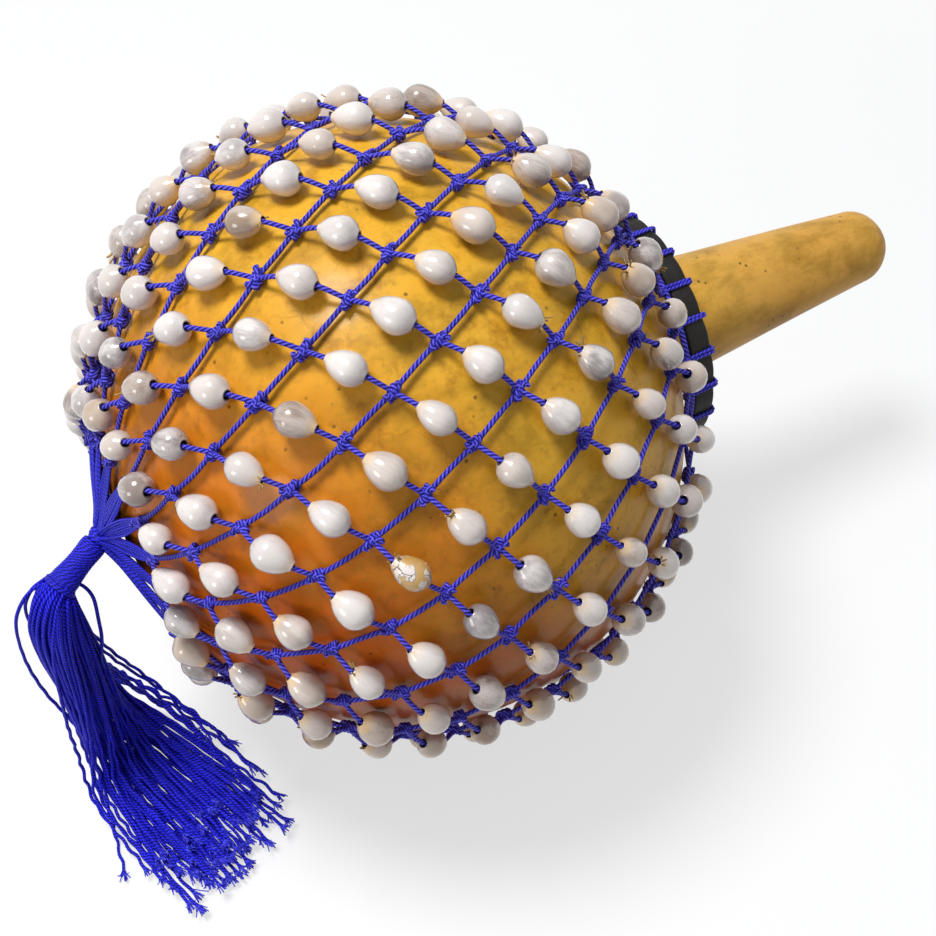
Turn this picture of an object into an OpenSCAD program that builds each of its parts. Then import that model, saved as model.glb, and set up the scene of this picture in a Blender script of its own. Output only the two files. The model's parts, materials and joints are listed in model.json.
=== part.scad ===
// Shekere: a dried bottle gourd in a loose net of cord and seed beads, lying on its side.
// The gourd's axis runs along X with the handle towards +X, and +Z is up.
// The origin is under the middle of the whole object, on the surface that it lies on.

/* [Gourd] */
// Radius of the bulb, across the axis
bulb_r = 73.5; // [66:0.5:82]
// Length of the bulb from its widest place to the closed end
bottom_half = 68; // [62:0.5:76]
// Length of the bulb's own curve from its widest place towards the neck
bulb_half = 71; // [65:0.5:76]
// Thickness of the dried shell
shell_wall = 4.5; // [3:0.5:7]
// Radius of the shoulder where the bulb turns into the neck
shoulder_r = 24; // [22:0.5:25]
// Radius of the neck just past the shoulder
neck_r = 15.4; // [13:0.2:18]
// Length of the hollow curve from the shoulder to the neck
neck_blend = 14; // [10:0.5:20]
// Radius of the handle before its rounded tip
handle_r = 10; // [8:0.2:12]
// Distance from the bulb's centre to the tip of the handle
handle_reach = 147; // [125:1:175]
// Length of the rounded tip
tip_len = 9; // [6:0.5:12]

/* [Net] */
// Thickness of the cord
cord_d = 1.5; // [1.2:0.05:1.8]
// Thickness of a knot
knot_d = 3.4; // [3:0.1:4.2]
// Free space between the net and the gourd
net_clear = 0.3; // [0.3:0.1:0.8]

/* [Beads] */
// Length of the largest bead, along its hole
bead_len = 9; // [7:0.1:9.6]
// Thickness of the largest bead
bead_d = 7.6; // [6:0.1:8]
// Free space between the cord and the wall of a bead's hole
bead_bore_clear = 0.4; // [0.3:0.05:0.4]

/* [Collar] */
// Radius of the black ring's hole
ring_bore_r = 27.4; // [26:0.2:29]
// Thickness of the ring
ring_wall = 2.8; // [2:0.1:4]
// Width of the ring along the axis
ring_w = 5.6; // [4:0.2:9]
// Rounding of the ring's edges
ring_edge = 0.8; // [0.4:0.1:1]
// Thickness of the straps tied over the ring
strap_t = 1.4; // [1:0.1:1.8]
// Free space between the ring and the straps
hitch_clear = 0.05; // [0.05:0.01:0.2]

/* [Tassel] */
// Distance from the bulb's end to the point where the cords gather
gather_lift = 4.6; // [4.4:0.1:8]
// Radius of the knot that gathers the cords
gather_knot_r = 3; // [2.4:0.1:3.4]
// Thickness of the cord wound round the tassel
binding_cord_d = 1; // [0.8:0.05:1.1]
// Pitch of the winding
binding_pitch = 1.6; // [1.5:0.05:2]
// Thickness of one strand of the tassel
strand_d = 0.88; // [0.6:0.02:0.9]
// Distance between strands where the winding holds them
strand_pitch = 0.95; // [0.94:0.01:1.05]
// Distance between strands where they hang, below the bend
strand_hang = 2.2; // [1.6:0.1:2.4]
// Sideways distance between strands at the end of the fan
strand_fan = 6; // [4:0.1:6.4]

/* [Hidden] */
KNOT_ROWS = ["net_row_00", "net_row_01", "net_row_02", "net_row_03", "net_row_04", "net_row_05",
    "net_row_06", "net_row_07", "net_row_08", "net_row_09", "net_row_10", "net_row_11", "net_row_12"];
BEAD_ROWS = ["bead_row_00", "bead_row_01", "bead_row_02", "bead_row_03", "bead_row_04", "bead_row_05",
    "bead_row_06", "bead_row_07", "bead_row_08", "bead_row_09", "bead_row_10", "bead_row_11"];
$fn = 48;

// How the gourd lies: its axis tips down towards the handle by this angle, on three of its beads.
lie_angle = 1.65;

// The net has this many columns round the gourd, and one row of beads between two rows of knots.
columns = 20;
last_row = 12;
row_middle = 7.5;
column_step = 360 / columns;

// Angle of a row from the bulb's end, in degrees, as a cubic of its place among the rows.
row_angle_mid = 100.3;
row_angle_step = 9.37;
row_angle_cube = 0.0206;

// Angle of a column round the axis, from the top, which winds on from row to row.
turn_start = 48.5;
turn_step = 3.01;
turn_square = -0.256;
turn_cube = -0.0083;

// A slack net hangs off the middle: the size of each shift in degrees, and where round the gourd it is greatest.
sag_row = 6.7;
sag_row_at = 151.3;
sag_oval = 5.4;
sag_oval_at = 200;
sag_turn = 8;
sag_turn_at = 277.6;

cord_r = cord_d / 2;
pair_r = cord_d * 0.65;
knot_lift = knot_d / 2 + net_clear;
bead_lift = bead_d / 2 + net_clear;
bead_bore_r = cord_r + bead_bore_clear;
bend_r = cord_r * 1.1;

// Shares of the largest bead's size that the beads take in turn.
bead_size_shares = [1, 0.94, 0.98, 0.9, 0.97, 0.92, 1, 0.95];

// Half outline of a bead: distance along the hole as a share of half the length, and radius as a share of half
// the thickness, from the blunt end to the pointed one.
bead_outline_shares = [[-1, 0.42], [-0.9, 0.66], [-0.65, 0.91], [-0.35, 1], [-0.05, 0.98], [0.3, 0.87],
    [0.6, 0.7], [0.85, 0.49], [1, 0.35]];

// A cord is drawn in where it leaves a knot, by a share of its radius. It leaves the knot and is whole again at
// these shares of the knot's radius.
neck_share = 0.62;
neck_leave_share = 1.05;
neck_whole_share = 1.4;

// Which beads hang with the blunt end towards the closed end of the gourd: one of these for each in turn.
bead_turned = [0, 0, 1, 0, 0, 0, 0, 1, 0, 0, 1];

// Points of the gourd's outline

shoulder_angle = 180 - asin(shoulder_r / bulb_r);
function half_at(a) = cos(a) > 0 ? bottom_half : bulb_half;
shoulder_x = -half_at(shoulder_angle) * cos(shoulder_angle);
neck_x = shoulder_x + neck_blend;

// A point of the bulb's own curve, at an angle from its closed end, with the wall taken off.
function bulb_point(a, inset) = [(bulb_r - inset) * sin(a), -(half_at(a) - inset) * cos(a)];

function bezier(p, t) = p[0] * pow(1 - t, 3) + 3 * p[1] * t * pow(1 - t, 2)
    + 3 * p[2] * t * t * (1 - t) + p[3] * pow(t, 3);

// Shares of the neck blend's length that its curve leaves the bulb with and reaches the neck with.
leave_share = 0.3;
reach_share = 0.5;

function neck_blend_points(inset) = let(
    a = bulb_point(shoulder_angle, inset),
    along = [(bulb_r - inset) * cos(shoulder_angle), (bulb_half - inset) * sin(shoulder_angle)],
    ahead = along / norm(along),
    b = [neck_r - inset, neck_x],
    p = [a, a + ahead * neck_blend * leave_share, b - [0, neck_blend * reach_share], b]
) [for (i = [1:10]) bezier(p, i / 10)];

// Half outline of the gourd or, with an inset, of its hollow, from the closed end to the tip.
function gourd_outline(inset, reach) = concat(
    [for (i = [0:36]) bulb_point(shoulder_angle * i / 36, inset)],
    neck_blend_points(inset),
    [for (i = [0:8]) let(a = 90 * i / 8)
        [(handle_r - inset) * cos(a), reach - tip_len + tip_len * sin(a)]]);

// Where the net lies

function row_angle(i) = let(x = i - row_middle) row_angle_mid + row_angle_step * x + row_angle_cube * pow(x, 3);

function turn_angle(i, c) = let(x = i - row_middle)
    turn_start - column_step * c - column_step / 2 * (i - 5) + turn_step * x + turn_square * x * x
    + turn_cube * pow(x, 3);

// Both angles of a knot, with the slack in them.
function knot_angles(i, c) = let(a = row_angle(i), t = turn_angle(i, c), w = sin(a))
    [a + w * (sag_row * cos(t - sag_row_at) + sag_oval * cos(2 * (t - sag_oval_at))),
     t + w * sag_turn * cos(t - sag_turn_at)];

// A point over the bulb at two angles and a height.
function over_bulb(angles, lift) = [
    -(half_at(angles[0]) + lift) * cos(angles[0]),
    -(bulb_r + lift) * sin(angles[0]) * sin(angles[1]),
    (bulb_r + lift) * sin(angles[0]) * cos(angles[1])];

function knot_at(i, c) = over_bulb(knot_angles(i, c), knot_lift);

// A bead hangs between knot c of its row and knot c - 1 of the next.
function bead_turn(i, c) = 1 - 2 * bead_turned[(5 * i + 3 * (c % columns)) % len(bead_turned)];
function bead_size(i, c) = bead_size_shares[(7 * i + 3 * (c % columns)) % len(bead_size_shares)];
function bead_at(i, c) = over_bulb((knot_angles(i, c) + knot_angles(i + 1, c - 1)) / 2, bead_lift);
function bead_way(i, c) = let(d = knot_at(i + 1, c - 1) - knot_at(i, c)) d / norm(d);
function bead_mouth(i, c, side) = bead_at(i, c) + bead_way(i, c) * side * bead_len / 2 * bead_size(i, c);

// How far a bead reaches in a direction, given in the gourd's own axes.
function bead_reach(i, c, way) = let(s = bead_size(i, c) / 2, k = bead_way(i, c) * way)
    bead_at(i, c) * way + max([for (p = bead_outline_shares)
        -p[0] * bead_turn(i, c) * bead_len * s * k + p[1] * bead_d * s * sqrt(max(0, 1 - k * k))]);
function beads_reach(way) = max([for (i = [0:last_row - 1]) for (c = [0:columns - 1]) bead_reach(i, c, way)]);

// The collar. A strap's inner outline, from the ring's bulb side: distance along the axis and radius.
// It goes round the ring and round the cord that lies against the ring's bulb side.

ring_out_r = ring_bore_r + ring_wall;
strap_inner = [
    [-hitch_clear, ring_bore_r - hitch_clear],
    [ring_w + hitch_clear, ring_bore_r - hitch_clear],
    [ring_w + hitch_clear, ring_out_r + hitch_clear],
    [-2 * hitch_clear - cord_d, ring_out_r + hitch_clear],
    [-2 * hitch_clear - cord_d, ring_out_r - cord_d - hitch_clear]];

function outward(p, i) = let(n = len(p), d = p[(i + 1) % n] - p[i % n]) [d[1], -d[0]] / norm(d);
strap_outer = [for (i = [0:len(strap_inner) - 1])
    for (k = [4, 5]) strap_inner[i] + strap_t * outward(strap_inner, i + k)];

// The ring sits as near to the bulb as its straps let it.
function shoulder_at(r) = bulb_half * sqrt(1 - pow(r / bulb_r, 2));
ring_x = max([for (p = strap_outer) shoulder_at(p[1]) + net_clear - p[0]]);

strap_w = cord_d * 0.94;
strap_spread = cord_d * 0.56;

// The leg of a pair of straps begins in a ball against the straps' outer corner on the bulb side.
head_r = cord_d * 0.78;
head_off = strap_t * cos(45) + head_r + hitch_clear;
head_along = cord_d * 0.35;
head_place = [ring_x, 0] + strap_inner[3] + head_off * [-cos(45), sin(45)] + head_along * [cos(45), sin(45)];

// The gather point, and the way the tassel leaves it, in the gourd's own axes.
gather_at = [-(bottom_half + gather_lift), 0, 0];
hub_r = gather_knot_r + net_clear;
hub_out_r = 9;
hub_t = 2.2;
hub_over = 0.8;

binding_turns = 7;
strand_r = strand_d / 2;
bundle_r = 2 * strand_pitch + strand_r;
binding_r = bundle_r + binding_cord_d / 2 + 0.15 * strand_d;
binding_len = binding_turns * binding_pitch;
binding_start = hub_r + binding_cord_d;

// The gourd is set down so that its lowest bead touches the surface.
lay_z = beads_reach([sin(lie_angle), 0, -cos(lie_angle)]);

// A point of the gourd's own axes, over the surface but not yet moved to the middle.
function laid_point(p) = [
    p[0] * cos(lie_angle) + p[2] * sin(lie_angle),
    p[1],
    -p[0] * sin(lie_angle) + p[2] * cos(lie_angle) + lay_z];

// The way that the tassel leaves its knot, with the directions across it.
gather_point = laid_point(gather_at);
tassel_way = [-0.86, -0.28, -0.42] / norm([-0.86, -0.28, -0.42]);
tassel_side = cross([0, 0, 1], -tassel_way) / norm(cross([0, 0, 1], tassel_way));
tassel_up = cross(tassel_side, tassel_way);

// The tassel's middle past the winding: where it goes, from the bulb's centre in plan and from the surface in
// height, then the heading of the strands' side, and shares of the hanging pitch across and along it.
tassel_route = [
    [[-89, -5.4, 73], 100, 0.75, 0.75],
    [[-91, -6, 63], 90, 1, 0.95],
    [[-91.5, -6, 50], 80, 1.05, 1],
    [[-91, -6, 36], 70, 1.05, 1],
    [[-90, -6.5, 23], 60, 1.1, 1],
    [[-88.5, -8.5, 12], 50, 1.2, 0.9],
    [[-86, -14, 5], 36, 1.4, 0.7],
    [[-82, -23, 2.9], 28, 1.8, 0.52],
    [[-77.5, -33, 2.7], 24, 2.2, 0.5],
    [[-73.5, -43, 2.7], 24, 2.5, 0.5],
    [[-70, -53, 2.7], 24, strand_fan / strand_hang, 0.5]];

// Places of the strands in the bundle, in steps of the pitch: rows of three, four, five, four and three.
strand_places = [for (b = [-2:2]) for (a = [0:4 - abs(b)]) [a - (4 - abs(b)) / 2, b * sin(60)]];

binding_end = binding_start + binding_len;
function route_points() = concat(
    [gather_point + tassel_way * binding_start, gather_point + tassel_way * binding_end],
    [for (q = tassel_route) q[0]]);
function route_sides() = concat([tassel_side, tassel_side],
    [for (q = tassel_route) [cos(q[1]), sin(q[1]), 0]]);
function route_across() = concat([strand_pitch, strand_pitch], [for (q = tassel_route) q[2] * strand_hang]);
function route_along() = concat([strand_pitch, strand_pitch], [for (q = tassel_route) q[3] * strand_hang]);

// A value part of the way between two entries of a list, on a smooth curve through all of them.
function between(v, i, t) = let(n = len(v) - 1, a = v[max(i - 1, 0)], b = v[i], c = v[min(i + 1, n)],
    d = v[min(i + 2, n)])
    b + (c - a) * t / 2 + (2 * a - 5 * b + 4 * c - d) * t * t / 2 + (3 * b - a - 3 * c + d) * t * t * t / 2;

stations = concat([[0, 0], [1, 0]], [for (i = [1:2]) for (t = [0.5, 1]) [i, t]],
    [for (i = [4:len(tassel_route)]) [i, 0]], [[len(tassel_route) + 1, 0]]);
function along_route(v) = [for (s = stations) between(v, s[0], s[1])];

middle_points = along_route(route_points());
middle_sides = along_route(route_sides());
middle_across = along_route(route_across());
middle_along = along_route(route_along());

function way_at(p, i) = let(d = p[min(i + 1, len(p) - 1)] - p[max(i - 1, 0)]) d / norm(d);
function strand_points(k) = [for (i = [0:len(middle_points) - 1])
    let(w = i < 2 ? tassel_way : way_at(middle_points, i), s0 = middle_sides[i] - (middle_sides[i] * w) * w,
        s = s0 / norm(s0), u = cross(s, w))
    middle_points[i] + s * k[0] * middle_across[i] + u * k[1] * middle_along[i]];

strands = [for (k = strand_places) strand_points(k)];
strand_gap = min([for (a = [0:len(strands) - 2]) for (b = [a + 1:len(strands) - 1])
    for (i = [0:len(strands[a]) - 1]) norm(strands[a][i] - strands[b][i])]) - strand_d;
strand_low = min([for (q = strands) for (p = q) p[2]]) - strand_r;
echo(strand_gap = strand_gap, strand_low = strand_low);

// The middle of the whole object, from the bulb's centre: the tassel and the handle's tip end it along X.
x_high = max([for (p = gourd_outline(0, handle_reach)) p[1] * cos(lie_angle) + p[0] * sin(lie_angle)]);
x_low = min([for (q = strands) for (p = q) p[0]]) - strand_r;
center_x = (x_high + x_low) / 2;
center_y = (beads_reach([0, 1, 0]) - beads_reach([0, -1, 0])) / 2;
echo(lay_z = lay_z, x_high = x_high, x_low = x_low, center = [center_x, center_y], ring_x = ring_x,
    gather = gather_point - [center_x, center_y, 0], side = tassel_side);

module placed() {
    translate([-center_x, -center_y, 0])
    children();
}

// Lays the gourd's own axes down at their angle.
module laid() {
    placed()
    translate([0, 0, lay_z])
    rotate([0, lie_angle, 0])
    children();
}

// Turns what is drawn along +Z to lie along a direction.
module aimed(way) {
    rotate([0, acos(way[2] / norm(way)), atan2(way[1], way[0])])
    children();
}

module pointed(at, way) {
    translate(at)
    aimed(way)
    children();
}

module rod(a, b, r) {
    pointed(a, b - a)
    cylinder(h = norm(b - a), r = r);
}

// A direction as it is seen by what has been aimed along another direction.
function seen_from(way, v) = let(p = acos(way[2] / norm(way)), t = atan2(way[1], way[0]))
    [v * [cos(t) * cos(p), sin(t) * cos(p), -sin(p)],
     v * [-sin(t), cos(t), 0],
     v * [cos(t) * sin(p), sin(t) * sin(p), cos(p)]];

module gourd() {
    color([0.80, 0.60, 0.25])
    laid()
    rotate([0, 90, 0])
    difference() {
        rotate_extrude($fn = 96)
        polygon(gourd_outline(0, handle_reach));
        rotate_extrude($fn = 96)
        polygon(gourd_outline(shell_wall, handle_reach - 3 * shell_wall));
    }
}

// The black ring round the neck, with its edges rounded off.
module collar_ring() {
    e = ring_edge;
    color([0.10, 0.10, 0.10])
    laid()
    translate([ring_x, 0, 0])
    rotate([0, 90, 0])
    rotate_extrude($fn = 96)
    polygon([for (k = [[0, 0, 180], [ring_wall, 0, 270], [ring_wall, ring_w, 0], [0, ring_w, 90]])
        for (s = [0:4]) let(a = k[2] + 22.5 * s)
            [ring_bore_r + k[0] + e * (cos(a) - (k[0] > 0 ? 1 : -1)),
             k[1] + e * (sin(a) - (k[1] > 0 ? 1 : -1))]]);
}

// The cord that lies along the ring's bulb side.
module collar_cord() {
    color([0.13, 0.14, 0.75])
    laid()
    translate([ring_x - hitch_clear - cord_r, 0, 0])
    rotate([0, 90, 0])
    rotate_extrude($fn = 96)
    translate([ring_out_r - cord_r, 0])
    circle(r = cord_r);
}

// One turn of a strap round the ring's section, drawn in the plane of the axis.
module strap() {
    translate([ring_x, 0, 0])
    rotate([90, 0, 0])
    linear_extrude(height = strap_w, center = true)
    difference() {
        polygon(strap_outer);
        polygon(strap_inner);
    }
}

function head_at(c) = let(t = knot_angles(last_row, c)[1])
    [head_place[0], -head_place[1] * sin(t), head_place[1] * cos(t)];
function leg_middle(c) = (head_at(c) + knot_at(last_row, c)) / 2;

// Pairs of straps over the ring, each pair with a leg that reaches down to the net.
module collar_straps() {
    color([0.13, 0.14, 0.75])
    laid()
    for (c = [0:columns - 1]) {
        rotate([knot_angles(last_row, c)[1], 0, 0])
        for (side = [-1, 1])
            translate([0, side * strap_spread, 0])
            strap();
        pointed(head_at(c), leg_middle(c) - head_at(c)) {
            sphere(r = head_r);
            translate([0, 0, start_in(head_r, pair_r)])
            cylinder(h = norm(leg_middle(c) - head_at(c)) - start_in(head_r, pair_r), r = pair_r);
        }
    }
}

// Where a cord begins inside the ball at its end: its rim lies just under the ball's surface.
start_share = 0.92;
function start_in(ball_r, r) = start_share * sqrt(ball_r * ball_r - r * r);

// A cord that leaves a knot along +Z, as a half outline turned round its own axis.
module knot_arm(len, r) {
    neck_r = r * neck_share;
    from = start_in(knot_d / 2, neck_r);
    rotate_extrude()
    polygon([[0, from], [neck_r, from], [neck_r, knot_d / 2 * neck_leave_share],
        [r, knot_d / 2 * neck_whole_share], [r, len], [0, len]]);
}

// The cord from a knot to the mouth of a bead, and on through half of the bead.
module bead_arm(to_mouth, to_middle) {
    bend = start_in(bend_r, cord_r);
    aimed(to_mouth) {
        knot_arm(norm(to_mouth) - bend, cord_r);
        translate([0, 0, norm(to_mouth)]) {
            sphere(r = bend_r);
            aimed(seen_from(to_mouth, to_middle))
            translate([0, 0, bend])
            cylinder(h = norm(to_middle) - bend, r = cord_r);
        }
    }
}

gather_mid_share = 0.5;
function gather_middle(c) = knot_at(0, c) + (gather_at - knot_at(0, c)) * gather_mid_share;

// A knot with half of each cord that leaves it.
module knot_star(i, c) {
    k = knot_at(i, c);
    ahead = (i < last_row ? (k + knot_at(i + 1, c)) / 2 : leg_middle(c)) - k;
    behind = (i > 0 ? (k + knot_at(i - 1, c)) / 2 : gather_middle(c)) - k;
    at = knot_angles(i, c);
    translate(k) {
        rotate([at[1], 0, 0])
        rotate([0, at[0] - 90, 0])
        rotate([0, 0, 90])
        sphere(r = knot_d / 2);
        aimed(ahead)
        knot_arm(norm(ahead), i < last_row ? cord_r : pair_r);
        aimed(behind)
        knot_arm(norm(behind), i > 0 ? cord_r : pair_r);
        if (i < last_row)
            bead_arm(bead_mouth(i, c, -1) - k, bead_at(i, c) - bead_mouth(i, c, -1));
        if (i > 0)
            bead_arm(bead_mouth(i - 1, c + 1, 1) - k, bead_at(i - 1, c + 1) - bead_mouth(i - 1, c + 1, 1));
    }
}

module net_row(i) {
    color([0.13, 0.14, 0.75])
    laid()
    for (c = [0:columns - 1])
        knot_star(i, c);
}

module bead(i, c) {
    s = bead_size(i, c);
    pointed(bead_at(i, c), -bead_way(i, c) * bead_turn(i, c))
    rotate_extrude()
    polygon(concat([[bead_bore_r, -s * bead_len / 2]],
        [for (p = bead_outline_shares) [p[1] * s * bead_d / 2, p[0] * s * bead_len / 2]],
        [[bead_bore_r, s * bead_len / 2]]));
}

module bead_row(i) {
    color([0.80, 0.79, 0.78])
    laid()
    for (c = [0:columns - 1])
        bead(i, c);
}

// The doubled cords from the last knots, which meet in a flat hub round the gather knot.
module gather_cords() {
    color([0.13, 0.14, 0.75])
    laid() {
        for (c = [0:columns - 1]) {
            way = gather_middle(c) - gather_at;
            rod(gather_middle(c), gather_at + way / norm(way) * (hub_out_r - hub_over), pair_r);
        }
        translate(gather_at)
        rotate([0, 90, 0])
        difference() {
            cylinder(h = hub_t, r = hub_out_r);
            translate([0, 0, -hub_t])
            cylinder(h = 3 * hub_t, r = hub_r);
        }
    }
}

module gather_knot() {
    color([0.13, 0.14, 0.75])
    laid()
    translate(gather_at)
    sphere(r = gather_knot_r);
}

// Rings of a tube swept along points, with a frame at each point, as one closed mesh.
module tube(points, r, sides, up) {
    n = len(points);
    function way(i) = let(d = points[min(i + 1, n - 1)] - points[max(i - 1, 0)]) d / norm(d);
    function side_of(i) = let(s = cross(way(i), up)) s / norm(s);
    rings = [for (i = [0:n - 1]) let(s = side_of(i), u = cross(s, way(i)))
        for (k = [0:sides - 1]) points[i] + r * (s * cos(360 * k / sides) + u * sin(360 * k / sides))];
    walls = [for (i = [0:n - 2]) for (k = [0:sides - 1])
        let(a = i * sides + k, b = i * sides + (k + 1) % sides)
        for (f = [[a, b, a + sides], [b, b + sides, a + sides]]) f];
    caps = [for (k = [1:sides - 2]) for (f = [[0, k + 1, k], [0, k, k + 1] + (n - 1) * sides * [1, 1, 1]]) f];
    polyhedron(points = rings, faces = concat(walls, caps));
}

function round_tassel(a, r, along) = gather_point + tassel_way * along
    + r * (tassel_side * cos(a) + tassel_up * sin(a));

// The winding: an unbroken helix, whose ends run straight for one thickness of the cord.
winding = let(n = 24 * binding_turns, step = [for (e = [0, n]) let(a = 360 * e / 24)
        (tassel_up * cos(a) - tassel_side * sin(a)) * binding_cord_d])
    concat([round_tassel(0, binding_r, binding_start) - step[0]],
        [for (i = [0:n]) round_tassel(15 * i, binding_r, binding_start + binding_pitch * i / 24)],
        [round_tassel(0, binding_r, binding_start + binding_len) + step[1]]);
winding_gap = min([for (i = [0:len(winding) - 25]) for (k = [12:24]) norm(winding[i] - winding[i + k])])
    - binding_cord_d;
echo(winding_gap = winding_gap);

module tassel_binding() {
    color([0.13, 0.14, 0.75])
    placed()
    tube(winding, binding_cord_d / 2, 6, tassel_way);
}

module tassel_strands() {
    color([0.13, 0.14, 0.75])
    placed()
    for (q = strands)
        tube(q, strand_r, 6, [0.6, 0.8, 0]);
}

for (i = [0:last_row])
    net_row(i);
for (i = [0:last_row - 1])
    bead_row(i);
gourd();
collar_ring();
collar_cord();
collar_straps();
gather_cords();
gather_knot();
tassel_binding();
tassel_strands();
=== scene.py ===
"""The shekere as it is photographed: a polished gourd in a net of blue cord and seed beads, with a tassel.

Sizes are in millimetres inside the classes, in the gourd's own axes, and become metres in the row frame
when a mesh is made. The gourd's axes have their middle in the widest place of the bulb, X along the handle
and Z up.
"""
import json
import logging
import math
from dataclasses import dataclass, field
from enum import Enum
from typing import Any, Callable, Optional, Sequence

import bpy
import numpy as np
from mathutils import Matrix, Vector


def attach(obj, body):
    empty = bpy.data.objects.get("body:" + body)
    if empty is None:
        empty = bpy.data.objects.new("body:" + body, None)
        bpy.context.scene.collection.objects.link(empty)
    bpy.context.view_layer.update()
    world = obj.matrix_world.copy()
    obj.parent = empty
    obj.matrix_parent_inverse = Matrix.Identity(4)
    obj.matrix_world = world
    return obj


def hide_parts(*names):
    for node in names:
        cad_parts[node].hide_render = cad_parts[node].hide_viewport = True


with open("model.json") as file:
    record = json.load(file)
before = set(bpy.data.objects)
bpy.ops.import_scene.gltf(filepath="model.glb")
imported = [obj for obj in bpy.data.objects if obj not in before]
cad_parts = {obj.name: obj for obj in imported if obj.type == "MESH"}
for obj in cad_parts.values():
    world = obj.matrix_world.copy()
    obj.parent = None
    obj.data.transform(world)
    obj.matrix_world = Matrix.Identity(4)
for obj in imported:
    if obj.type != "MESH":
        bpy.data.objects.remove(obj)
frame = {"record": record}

log = logging.getLogger("shekere")
MM = 0.001
Point = np.ndarray
Piece = bpy.types.Object
Colour = tuple[float, float, float]
Span = tuple[float, float]


def painted(red: int, green: int, blue: int) -> Colour:
    """A colour as it is seen, from 0 to 255, as the linear colour that a shader takes."""
    parts = [value / 255 for value in (red, green, blue)]
    return tuple(p / 12.92 if p <= 0.04045 else ((p + 0.055) / 1.055) ** 2.4 for p in parts)


def unit(v: Point) -> Point:
    """The vector at length one."""
    return v / np.linalg.norm(v)


def polar(x: float, radius: float, turn: float) -> Point:
    """A point in the gourd's axes, from its distance from them and its angle from the top."""
    return np.array([x, -radius * math.sin(turn), radius * math.cos(turn)])


def beside(start: Point, way: Point, along: float, out: float, turn: float) -> Point:
    """A point in metres, some millimetres along a way from a start and some out from it at an angle."""
    side = unit(np.cross([0.0, 0, 1.0], way))
    up = np.cross(way, side)
    return start + (way * along + (side * math.cos(turn) + up * math.sin(turn)) * out) * MM


def curved(points: Sequence[Point], steps: int, closed: bool = False) -> list[Point]:
    """Puts points between points, on a smooth curve through all of them.

    Args:
        points: the points that the curve goes through.
        steps: how many steps each stretch is cut into.
        closed: whether the curve comes back to its first point.
    Returns:
        The points of the curve.
    """
    p = [np.asarray(q, float) for q in points]
    n = len(p)
    out = []
    for i in range(n if closed else n - 1):
        a, b, c, d = (p[(i + k) % n] if closed else p[min(max(i + k, 0), n - 1)] for k in (-1, 0, 1, 2))
        slope, bend, twist = c - a, 2 * a - 5 * b + 4 * c - d, 3 * b - a - 3 * c + d
        for t in (s / steps for s in range(steps)):
            out.append(b + slope * t / 2 + bend * t * t / 2 + twist * t ** 3 / 2)
    out.append(p[0].copy() if closed else p[-1])
    return out


def ring_faces(rings: int, around: int, closed: bool = False) -> list[tuple[int, int, int, int]]:
    """The faces between rings of points that follow one another.

    Args:
        rings: how many rings there are.
        around: how many points each has.
        closed: whether the last ring is joined to the first.
    Returns:
        Two neighbours on one ring and the two across from them on the next, for each face.
    """
    total, faces = rings * around, []
    for j in range(rings if closed else rings - 1):
        for k in range(around):
            a, b = j * around + k, j * around + (k + 1) % around
            faces.append((a, b, (b + around) % total, (a + around) % total))
    return faces


class Value:
    """A number that comes out of a node. Sums of values add the Math nodes that work them out."""

    def __init__(self, tree: "Tree", socket: Any) -> None:
        """Keeps the socket and the tree that it is in."""
        self.tree, self.socket = tree, socket

    def math(self, operation: str, *others: Any) -> "Value":
        """One Math node on this value and others."""
        node = self.tree.add("ShaderNodeMath", {"operation": operation}, dict(enumerate((self, *others))))
        return Value(self.tree, node.outputs[0])

    def __add__(self, other: Any) -> "Value":
        """The sum of both."""
        return self.math("ADD", other)

    def __sub__(self, other: Any) -> "Value":
        """This less the other."""
        return self.math("SUBTRACT", other)

    def __rsub__(self, other: float) -> "Value":
        """The other less this."""
        return (self * -1.0).math("ADD", other)

    def __mul__(self, other: Any) -> "Value":
        """The product of both."""
        return self.math("MULTIPLY", other)

    def __truediv__(self, other: Any) -> "Value":
        """This divided by the other."""
        return self.math("DIVIDE", other)

    __radd__ = __add__
    __rmul__ = __mul__

    def least(self, other: Any) -> "Value":
        """The smaller of both."""
        return self.math("MINIMUM", other)

    def most(self, other: Any) -> "Value":
        """The larger of both."""
        return self.math("MAXIMUM", other)

    def within(self, low: float, high: float) -> "Value":
        """Runs smoothly from 0 at low to 1 at high, or the other way where low is the larger.

        Args:
            low: where the result is 0.
            high: where the result is 1.
        Returns:
            The new value.
        """
        up = high > low
        ends = {"From Min": min(low, high), "From Max": max(low, high),
                "To Min": float(not up), "To Max": float(up)}
        settings = {"interpolation_type": "SMOOTHSTEP"}
        node = self.tree.add("ShaderNodeMapRange", settings, {"Value": self, **ends})
        return Value(self.tree, node.outputs[0])


class Tree:
    """Adds nodes to a tree of a material, of the world or of Geometry Nodes."""

    def __init__(self, tree: bpy.types.NodeTree) -> None:
        """Keeps the tree."""
        self.tree = tree

    def feed(self, node: bpy.types.Node, sockets: dict) -> None:
        """Sets a node's inputs, by name or number, each to a value, a socket or a Value."""
        for name, value in sockets.items():
            target = node.inputs[name]
            if isinstance(value, Value):
                value = value.socket
            if isinstance(value, bpy.types.NodeSocket):
                self.tree.links.new(value, target)
            else:
                target.default_value = (*value, 1.0) if target.type == "RGBA" and len(value) == 3 else value

    def add(self, kind: str, settings: Optional[dict] = None,
            sockets: Optional[dict] = None) -> bpy.types.Node:
        """Makes a node.

        Args:
            kind: the node's type.
            settings: its properties, which are set first.
            sockets: for each input, by name or number, a value, a socket or a Value.
        Returns:
            The new node.
        """
        node = self.tree.nodes.new(kind)
        for name, setting in (settings or {}).items():
            setattr(node, name, setting)
        self.feed(node, sockets or {})
        return node


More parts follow.
